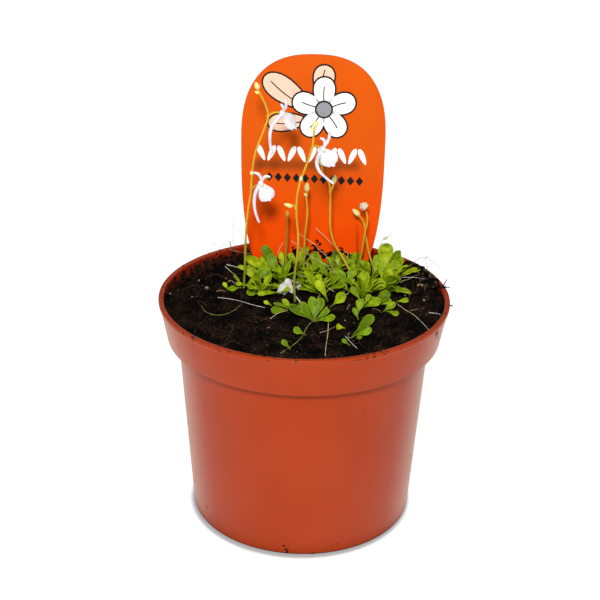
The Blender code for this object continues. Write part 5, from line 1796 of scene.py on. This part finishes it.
def add_flower(name, settings, petal, throat_material):
    """An open flower: broad lower lip, two ears above it, a swollen throat and a curved spur."""
    flower = FLOWERS[name]
    bm = bmesh.new()
    add_lip(
        bm, flower.throat, LIP_SHARE * flower.reach, flower.outward, flower.across,
        LIP_SHARE * flower.half_width, flower.droop, flower.point, settings,
    )
    thicken(bm, settings.thickness)
    routes = [(flower.spur, tapering(SPUR_RADIUS, SPUR_TAPER, flower.spur))]
    for ear in flower.ears:
        count = len(ear) - 1
        radii = [EAR_RADIUS * (0.75 + 0.35 * math.sin(math.pi * i / count)) for i in range(count + 1)]
        routes.append((ear, radii))
    add_tubes(bm, routes, 5, 3)
    add_egg(bm, flower.throat, 1.05, 0.85, flower.outward)
    new_piece(bm, f"{name}_petals", petal, (name,))
    palate = bmesh.new()
    middle = Vector(flower.throat) + Vector(flower.outward).normalized() * 0.75
    add_egg(palate, middle, 0.62, 0.58, flower.outward)
    new_piece(palate, f"{name}_throat", throat_material)


# A shrivelled petal on the peat beside the fallen flower
FALLEN_CURL = (-1.7, 10.6, 69.6)
FALLEN_CURL_RADIUS = 0.95


def add_withered_flower(settings):
    """A withered flower: a small crumpled ball at the top of its stalk."""
    draw = random.Random(WITHERED_FLOWER_SEED)
    bm = bmesh.new()
    bmesh.ops.create_icosphere(bm, subdivisions=4, radius=WITHERED_FLOWER_RADIUS * MM)
    for corner in bm.verts:
        place = corner.co / MM
        folds = noise.noise(place * 1.6) + 0.5 * noise.noise(place * 3.7)
        corner.co *= 0.84 + 0.46 * folds + draw.uniform(-0.01, 0.01)
    bmesh.ops.translate(bm, verts=bm.verts[:], vec=at(WITHERED_FLOWER_CENTRE))
    material = petal_material("petal_withered", settings.withered, dimmed(settings.withered, 0.40))
    new_piece(bm, "flower_withered_petals", material, ("flower_withered",))
    curl = bmesh.new()
    bmesh.ops.create_icosphere(curl, subdivisions=4, radius=FALLEN_CURL_RADIUS * MM)
    for corner in curl.verts:
        place = corner.co / MM
        corner.co *= 0.85 + 0.9 * noise.noise(place * 1.9 + Vector((4.0, 1.0, 2.0)))
    bmesh.ops.translate(curl, verts=curl.verts[:], vec=at(FALLEN_CURL))
    new_piece(curl, "withered_curl", material)


def add_fallen_flower(settings, petal):
    """A dropped lower lip, folded like a little tent, that lies on the peat."""
    x, y = FALLEN_FLOWER
    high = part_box("flower_fallen")[1]
    top = (x, y, peat_height(x, y) + 0.8 * FALLEN_FLOWER_REACH)
    bm = bmesh.new()
    for outward, across, share in FALLEN_HALVES:
        add_lip(
            bm, top, share * FALLEN_FLOWER_REACH, outward, across,
            share * FALLEN_FLOWER_HALF_WIDTH, FALLEN_FLOWER_DROOP, 0.1, settings,
        )
    thicken(bm, settings.thickness)
    noise.seed_set(FALLEN_FLOWER_SEED)
    for corner in bm.verts:
        corner.co += noise.noise_vector(corner.co * 700) * FALLEN_FLOWER_CRUMPLE * MM
    highest = max(corner.co.z for corner in bm.verts)
    drop = highest - high.z + FALLEN_FLOWER_SUNK * MM
    bmesh.ops.translate(bm, verts=bm.verts[:], vec=(0, 0, -drop))
    new_piece(bm, "flower_fallen_petals", petal, ("flower_fallen",))


THREAD_TAPER = 0.35
# A small bud by the pale threads: centre, half length, half width, and the way it points
SIDE_BUD = ((25.6, 18.3, 83.9), 0.8, 0.45, (0.8, -0.2, 0.5))


def add_threads():
    """Pale threads, green runners and fine hairs, one piece for each kind."""
    for kind, (low, high, threads) in THREADS.items():
        bm = bmesh.new()
        routes = [(points, tapering(radius, THREAD_TAPER, points)) for radius, points in threads]
        add_tubes(bm, routes, 6, 1)
        if kind == "pale":
            add_egg(bm, *SIDE_BUD)
        new_piece(bm, f"threads_{kind}", fibre_material(f"thread_{kind}", low, high, 0.5))


# Clods that cling to the label's foot: x, height and size
LABEL_CLODS = (
    (3.9, 77.2, 0.45), (4.9, 76.4, 0.45), (2.9, 75.9, 0.45), (3.6, 74.9, 0.6), (4.8, 74.2, 0.6),
    (2.8, 73.8, 0.6), (5.8, 73.2, 0.7), (-3.8, 75.0, 0.35), (-3.6, 73.8, 0.6), (-3.0, 72.4, 0.8),
    (-4.8, 71.8, 0.8), (12.1, 75.0, 0.4), (12.4, 73.9, 0.5), (13.6, 72.8, 0.8), (15.6, 72.2, 0.8),
    (18.0, 71.4, 0.8), (10.4, 72.2, 0.8), (8.2, 72.6, 0.8), (6.8, 72.4, 0.9), (0.6, 72.3, 0.8),
    (-1.2, 72.0, 0.8), (-8.0, 71.2, 0.8), (17.0, 71.4, 0.8),
)
LABEL_CLOD_GROWTH = 1.75
CLOD_CRUMBS = 12
GRIT_SEED = 31

# Larger clods on the rim and under it: x, y, z and size
RIM_CLODS = (
    (43.7, 5.7, 72.9, 0.45), (42.9, 5.0, 72.8, 0.35), (44.3, 6.4, 72.7, 0.35),
    (-39.3, 20.1, 72.6, 0.3), (-19.5, 39.6, 72.6, 0.25), (-31.8, 31.2, 72.6, 0.2),
    (43.9, -7.0, 72.7, 0.25), (26.6, 35.4, 72.6, 0.4),
)

# Short twigs on the rim: where they start and end
RIM_TWIGS = (
    ((43.0, 5.4, 72.9), (45.6, 4.6, 73.3)), ((43.6, 6.4, 73.0), (44.9, 8.2, 74.6)),
    ((42.6, 5.6, 72.8), (41.9, 7.6, 74.0)), ((44.5, -7.4, 72.6), (45.3, -8.6, 73.0)),
)
TWIG_RADII = (0.24, 0.10)

# The heap of litter by the rim at the back right, from angle to angle, and where it is highest
HEAP_START = 10
HEAP_END = 39
HEAP_MIDDLE = 27
HEAP_CRUMBS = 820
WALL_CRUMBS = 900
RIM_CRUMBS = 220
SMALL_GRAINS = 40
LITTER_CIRCLE = 41

# Specks on the outside wall: angle from the front, height, spread, how many, and size
POT_SPECKS = (
    (-57.8, 65.8, 0.25, 3, 0.16), (-48.5, 66.6, 1.2, 4, 0.07), (-39.8, 59.6, 0.2, 2, 0.14),
    (55.6, 66.4, 0.3, 4, 0.14), (58.3, 64.2, 0.3, 3, 0.12), (62.5, 69.4, 0.9, 16, 0.22),
    (65.8, 66.9, 0.6, 5, 0.16), (-47.8, 15.9, 0.4, 4, 0.13), (-47.0, 13.8, 0.5, 4, 0.12),
    (-45.6, 11.6, 0.4, 4, 0.12), (-47.4, 18.6, 0.9, 4, 0.1), (-16.1, 15.4, 0.1, 1, 0.14),
    (-11.8, 5.5, 0.2, 3, 0.2), (-8.1, 3.0, 0.3, 7, 0.24), (-7.0, 1.6, 0.35, 9, 0.28),
    (-6.2, 0.7, 0.4, 9, 0.3), (18.9, 3.1, 0.2, 3, 0.16), (-56.2, 6.4, 0.2, 3, 0.14),
    (32.4, 19.2, 0.1, 1, 0.1), (-61.4, 1.0, 0.4, 4, 0.16), (28.1, 49.8, 0.25, 4, 0.1),
    (39.6, 54.9, 0.1, 1, 0.1), (70.0, 22.7, 0.3, 3, 0.16), (75.0, 34.5, 0.2, 2, 0.14),
    (40.0, 2.0, 4.0, 6, 0.08), (6.5, 0.5, 0.5, 7, 0.26), (130.0, 30.0, 9.0, 8, 0.1),
    (-140.0, 22.0, 9.0, 8, 0.1), (180.0, 8.0, 6.0, 6, 0.12),
)

# Pale grains on the peat: x, y and size
GRAIN_GROWTH = 1.25
GRAINS = (
    (36.2, 11.3, 0.42), (37.4, 10.9, 0.34), (36.8, 12.0, 0.3), (31.8, 6.2, 0.34), (33.4, 6.3, 0.42),
    (37.2, 0.5, 0.36), (-34.2, 19.3, 0.3), (-31.1, 12.5, 0.5), (-42.0, 4.4, 0.25), (-35.3, 4.8, 0.25),
    (-25.5, 20.6, 0.25), (-10.5, -15.1, 0.25), (13.5, -17.8, 0.25), (4.4, 7.1, 0.22), (12.6, -8.3, 0.25),
    (29.0, 27.0, 0.22),
)

# Tan litter on the peat: x, y, spread and how many
LITTER = (
    (33.0, 7.0, 2.2, 34), (37.6, 1.0, 1.6, 22), (39.5, 15.0, 2.2, 40), (36.0, -4.5, 1.8, 16),
    (-31.0, 12.4, 1.2, 8), (-22.0, -18.0, 5.0, 22), (-8.0, -20.0, 5.0, 16), (24.0, -8.0, 4.0, 14),
)


def outer_radius(z):
    """The pot's outside radius at a height."""
    if z < COLLAR_FOOT_Z:
        return BASE_RADIUS + (BODY_TOP_RADIUS - BASE_RADIUS) * z / COLLAR_FOOT_Z
    part = (z - COLLAR_FOOT_Z) / (COLLAR_DEPTH - LIP_DEPTH)
    return COLLAR_FOOT_RADIUS + (RIM_RADIUS - LIP_OVERHANG - COLLAR_FOOT_RADIUS) * min(part, 1.0)


def clump_spots(draw, centre, size):
    """Spots for a clod of many small crumbs."""
    spots = []
    for _ in range(CLOD_CRUMBS):
        away = [draw.gauss(0, 0.42 * size) for _ in range(3)]
        spot = (centre[0] + away[0], centre[1] + 0.4 * away[1], centre[2] + 0.8 * away[2])
        spots.append((spot, size * draw.uniform(0.22, 0.5)))
    return spots


def wall_spots(draw):
    """Spots for the crumbs that stick to the inside wall above the peat."""
    spots = []
    for _ in range(WALL_CRUMBS):
        x, y = around(1, draw.uniform(0, 2 * math.pi))
        radius = 0.12 + 0.42 * draw.random() ** 2
        z = peat_height(42 * x, 42 * y) + 3.6 * draw.random() ** 1.8
        if z < POT_HEIGHT - 0.8:
            reach = inner_radius(z) - 0.4 * radius
            spots.append(((reach * x, reach * y, z), radius))
    return spots


def outside_spots(draw):
    """Spots for tiny specks of soil on the outside wall and the top of the rim."""
    spots = []
    for angle, z, spread, count, size in POT_SPECKS:
        for _ in range(count):
            height = min(POT_HEIGHT - LIP_DEPTH, max(0.2, z + draw.uniform(-spread, spread)))
            reach = outer_radius(height)
            turn = math.radians(angle) + draw.uniform(-spread, spread) / reach
            spot = (reach * math.sin(turn), -reach * math.cos(turn), height)
            spots.append((spot, size * draw.uniform(0.5, 1.0)))
    for _ in range(RIM_CRUMBS):
        turn = draw.uniform(0, 2 * math.pi)
        spot = (*around(RIM_RADIUS - draw.uniform(0.3, 1.4), turn), POT_HEIGHT)
        spots.append((spot, draw.uniform(0.05, 0.15)))
    return spots


def heap_spots(draw):
    """Spots for the litter heaped against the rim at the back right."""
    spots = []
    for _ in range(HEAP_CRUMBS):
        angle = draw.uniform(HEAP_START, HEAP_END)
        reach = 38.6 + 5.2 * draw.random() ** 0.7
        x, y = around(reach, math.radians(angle))
        crest = 0.5 + 1.6 * math.exp(-(((angle - HEAP_MIDDLE) / 7) ** 2))
        across = math.exp(-(((reach - 42.2) / 2.0) ** 2))
        floor = peat_height(x, y) if reach < inner_radius(POT_HEIGHT) else POT_HEIGHT
        top = max(floor, POT_HEIGHT) + crest * across
        z = floor + (top - floor) * across * draw.random() ** 0.5
        spots.append(((x, y, z), 0.16 + 0.55 * draw.random() ** 3))
    return spots


def litter_spots(draw):
    """Spots for the dry tan crumbs on the peat."""
    spots = []
    for x, y, spread, count in LITTER:
        for _ in range(count):
            here = (x + draw.gauss(0, spread / 2), y + draw.gauss(0, spread / 2))
            if math.hypot(*here) < LITTER_CIRCLE:
                lift = draw.uniform(0.0, 0.4)
                spots.append(((*here, peat_height(*here) + lift), draw.uniform(0.10, 0.26)))
    return spots


def grain_spots(draw):
    """Spots for the pale grains on the peat."""
    spots = [
        ((x, y, peat_height(x, y) + 0.7 * size), GRAIN_GROWTH * size) for x, y, size in GRAINS
    ]
    for _ in range(SMALL_GRAINS):
        turn = draw.uniform(0, 2 * math.pi)
        x, y = around(LITTER_CIRCLE * math.sqrt(draw.random()), turn)
        spots.append(((x, y, peat_height(x, y) + 0.3), draw.uniform(0.07, 0.15)))
    return spots


def add_grit(settings):
    """Soil that clings to the label, the wall and the rim, dry litter and pale grains."""
    draw = random.Random(GRIT_SEED)
    spots = wall_spots(draw) + outside_spots(draw)
    for x, z, size in LABEL_CLODS:
        face = LABEL_Y + math.tan(math.radians(LABEL_BACKWARD_LEAN)) * (z - LABEL_PEAT_Z) - 0.5
        spots += clump_spots(draw, (x, face, z), LABEL_CLOD_GROWTH * size)
    for x, y, z, size in RIM_CLODS:
        spots += clump_spots(draw, (x, y, z), size)
    heap = heap_spots(draw)
    tan_share = len(heap) // 4
    soil, tan, grains = bmesh.new(), bmesh.new(), bmesh.new()
    strew(soil, draw, spots + heap[tan_share:])
    strew(tan, draw, heap[:tan_share] + litter_spots(draw))
    strew(grains, draw, grain_spots(draw))
    add_tubes(soil, [(ends, TWIG_RADII) for ends in RIM_TWIGS], 2, 1)
    new_piece(soil, "soil_clods", peat_material(settings))
    for bm, name, pale in ((tan, "tan_litter", settings.tan), (grains, "pale_grains", settings.grain)):
        new_piece(bm, name, fibre_material(f"{name}_dry", dimmed(pale, 0.4), pale))


class BLADDERWORT_OT_pot(bpy.types.Operator):
    """Turn the pot and drill its drain holes"""

    bl_idname = "bladderwort.pot"
    bl_label = "Pot"

    def execute(self, context):
        add_pot(context.scene.bladderwort_pot)
        return {"FINISHED"}


class BLADDERWORT_OT_peat(bpy.types.Operator):
    """Fill the pot with crumbled peat, loose crumbs and fibres"""

    bl_idname = "bladderwort.peat"
    bl_label = "Peat"

    def execute(self, context):
        settings = context.scene.bladderwort_peat
        material = peat_material(settings)
        add_peat_surface(settings, material)
        add_crumbs(settings, material)
        add_fibres(settings)
        return {"FINISHED"}


class BLADDERWORT_OT_label(bpy.types.Operator):
    """Cut the label and print its front"""

    bl_idname = "bladderwort.label"
    bl_label = "Label"

    def execute(self, context):
        settings = context.scene.bladderwort_label
        add_label_plate(settings)
        add_print(settings)
        return {"FINISHED"}


class BLADDERWORT_OT_stalks(bpy.types.Operator):
    """Grow the flower stalks and their buds"""

    bl_idname = "bladderwort.stalks"
    bl_label = "Stalks"

    def execute(self, context):
        settings = context.scene.bladderwort_stalk
        golden = stalk_material(settings)
        ripe = stalk_material(settings, "stalk_ripe", turning=(62.0, 78.0))
        # Painted shade: the stalk and the bud behind are given darker colours
        shaded = stalk_material(settings, "stalk_brown", settings.brown)
        bud = petal_material("bud_pale", settings.bud, dimmed(settings.bud, 0.8))
        painted_shade_bud = petal_material("bud_dim", settings.painted_shade_bud, dimmed(settings.painted_shade_bud, 0.8))
        for name in STALK_ROUTES:
            behind = name == "stalk_bud_behind"
            stem = ripe if name in RIPE_STALKS else golden
            add_stalk(name, settings, shaded if behind else stem, painted_shade_bud if behind else bud)
        return {"FINISHED"}


class BLADDERWORT_OT_flowers(bpy.types.Operator):
    """Open the flowers, the withered one and the fallen one"""

    bl_idname = "bladderwort.flowers"
    bl_label = "Flowers"

    def execute(self, context):
        settings = context.scene.bladderwort_flower
        petal = petal_material("petal_white", settings.white, settings.lilac)
        throat = petal_material("petal_throat", settings.throat, dimmed(settings.throat, 0.85))
        for name in FLOWERS:
            add_flower(name, settings, petal, throat)
        add_withered_flower(settings)
        fallen = petal_material("petal_fallen", settings.cream, dimmed(settings.cream, 0.72))
        add_fallen_flower(settings, fallen)
        return {"FINISHED"}


class BLADDERWORT_OT_tufts(bpy.types.Operator):
    """Grow every tuft of leaves and every single leaf"""

    bl_idname = "bladderwort.tufts"
    bl_label = "Leaf tufts"

    def execute(self, context):
        settings = context.scene.bladderwort_leaf
        material = leaf_material(settings)
        neighbours = ["label", *STALK_ROUTES, *FLOWERS, "flower_withered", "flower_fallen"]
        taken = [tree_of(node) for node in neighbours]
        placed = [leaf_tree(*entry[:2]) for name in PLACED_LEAVES for entry in placed_leaves(name)]
        for tuft in TUFTS:
            add_tuft(tuft, taken, placed, settings, material)
        return {"FINISHED"}


class BLADDERWORT_OT_threads(bpy.types.Operator):
    """Lay the loose threads, runners and hairs"""

    bl_idname = "bladderwort.threads"
    bl_label = "Threads"

    def execute(self, context):
        add_threads()
        return {"FINISHED"}


class BLADDERWORT_OT_grit(bpy.types.Operator):
    """Strew soil on the label's foot and the rim, and pale grains over the peat"""

    bl_idname = "bladderwort.grit"
    bl_label = "Grit"

    def execute(self, context):
        add_grit(context.scene.bladderwort_peat)
        return {"FINISHED"}


class BLADDERWORT_OT_stage(bpy.types.Operator):
    """Set the white floor, the soft light and the camera"""

    bl_idname = "bladderwort.stage"
    bl_label = "Stage"

    def execute(self, context):
        settings = context.scene.bladderwort_stage
        set_floor(settings)
        set_light(context.scene, settings)
        set_camera(context.scene, settings)
        return {"FINISHED"}


CAMERA_TARGET = (-1.3, 0.0, 70.2)
FLOOR_SIZE = 4.0  # metres
FLOOR_GAP = 0.05
# Painted shadow: how wide the darkened ring round the foot is, and how its centre is moved
PAINTED_SHADOW_WIDTH = 1.8
PAINTED_SHADOW_SHIFT = (0.3, 1.5, 0.0)
KEY_PLACE = (-0.035, -0.518, 0.461)  # metres
KEY_SIZE = 0.10  # metres


def set_floor(settings):
    """A wide white floor that glows a little, as a brightly lit table does, with a painted contact shadow
    round the pot's foot.
    """
    bm = bmesh.new()
    bmesh.ops.create_grid(bm, x_segments=1, y_segments=1, size=FLOOR_SIZE)
    bmesh.ops.translate(bm, verts=bm.verts[:], vec=(0, 0, -FLOOR_GAP * MM))
    mesh = mesh_of(bm, "floor")
    material, tree, where = new_material(
        "floor_white", 0.8, Emission_Strength=settings.glow, Base_Color=rgba((0.45, 0.45, 0.45))
    )
    # Painted shadow: the floor's glow is darkened in a ring round the pot's foot, shifted a little towards
    # the front
    painted_shadow_place = add_node(
        tree, "ShaderNodeVectorMath", {0: where, 1: at(PAINTED_SHADOW_SHIFT)}, operation="ADD"
    ).outputs["Vector"]
    reach = distance_from_axis(tree, painted_shadow_place)
    beyond_painted_shadow = ramp(tree, reach, (BASE_RADIUS - 0.6) * MM, (BASE_RADIUS + PAINTED_SHADOW_WIDTH) * MM)
    glow = mix_colours(tree, beyond_painted_shadow, rgba((0.0, 0.05, 0.06)), rgba((1, 1, 1)))
    tree.links.new(glow, tree.nodes["Principled BSDF"].inputs["Emission Color"])
    mesh.materials.append(material)
    add_object("floor", mesh)


def set_light(scene, settings):
    """A white surround and one large soft light above the front."""
    world = bpy.data.worlds.new("surround")
    scene.world = world
    world.use_nodes = True
    sky = world.node_tree.nodes["Background"].inputs
    sky["Color"].default_value = rgba((1, 1, 1))
    sky["Strength"].default_value = settings.sky
    scene.view_settings.view_transform = "Standard"
    lamp = bpy.data.lights.new("key", "AREA")
    lamp.shape = "DISK"
    lamp.size = KEY_SIZE
    lamp.energy = settings.key
    key = add_object("key", lamp)
    key.location = KEY_PLACE
    key.rotation_mode = "QUATERNION"
    key.rotation_quaternion = (at(CAMERA_TARGET) - key.location).to_track_quat("-Z", "Y")


def set_camera(scene, settings):
    """The camera at the picture's viewing angle."""
    elevation, roll = settings.elevation, settings.roll
    back = Vector((0, -math.cos(elevation), math.sin(elevation)))
    right = Vector((1, 0, 0))
    up = Vector((0, math.sin(elevation), math.cos(elevation)))
    across = right * math.cos(roll) + up * math.sin(roll)
    upright = up * math.cos(roll) - right * math.sin(roll)
    place = at(CAMERA_TARGET) + back * settings.distance
    data = bpy.data.cameras.new("camera")
    data.sensor_width = 36.0
    data.lens = settings.lens
    data.clip_start = 0.01
    camera = add_object("camera", data)
    turn = Matrix((across, upright, back)).transposed().to_4x4()
    camera.matrix_world = Matrix.Translation(place) @ turn
    scene.camera = camera


STEPS = (
    BLADDERWORT_OT_pot,
    BLADDERWORT_OT_peat,
    BLADDERWORT_OT_label,
    BLADDERWORT_OT_stalks,
    BLADDERWORT_OT_flowers,
    BLADDERWORT_OT_tufts,
    BLADDERWORT_OT_threads,
    BLADDERWORT_OT_grit,
    BLADDERWORT_OT_stage,
)

SETTINGS = {
    "bladderwort_pot": PotSettings,
    "bladderwort_peat": PeatSettings,
    "bladderwort_label": LabelSettings,
    "bladderwort_leaf": LeafSettings,
    "bladderwort_stalk": StalkSettings,
    "bladderwort_flower": FlowerSettings,
    "bladderwort_stage": StageSettings,
}


class BLADDERWORT_PT_panel(bpy.types.Panel):
    """The steps that build the plant"""

    bl_idname = "BLADDERWORT_PT_panel"
    bl_label = "Potted Bladderwort"
    bl_space_type = "VIEW_3D"
    bl_region_type = "UI"
    bl_category = "Bladderwort"

    def draw(self, context):
        for step in STEPS:
            self.layout.operator(step.bl_idname)


CLASSES = (*SETTINGS.values(), *STEPS, BLADDERWORT_PT_panel)


def register():
    """Registers the classes and hangs the settings on the scene."""
    for item in CLASSES:
        bpy.utils.register_class(item)
    for name, group in SETTINGS.items():
        setattr(bpy.types.Scene, name, PointerProperty(type=group))


def unregister():
    """Removes the settings and the classes."""
    for name in SETTINGS:
        delattr(bpy.types.Scene, name)
    for item in reversed(CLASSES):
        bpy.utils.unregister_class(item)


def main():
    register()
    bpy.ops.bladderwort.pot()
    bpy.ops.bladderwort.peat()
    bpy.ops.bladderwort.label()
    bpy.ops.bladderwort.stalks()
    bpy.ops.bladderwort.flowers()
    bpy.ops.bladderwort.tufts()
    bpy.ops.bladderwort.threads()
    bpy.ops.bladderwort.grit()
    bpy.ops.bladderwort.stage()


if __name__ == "__main__":
    main()
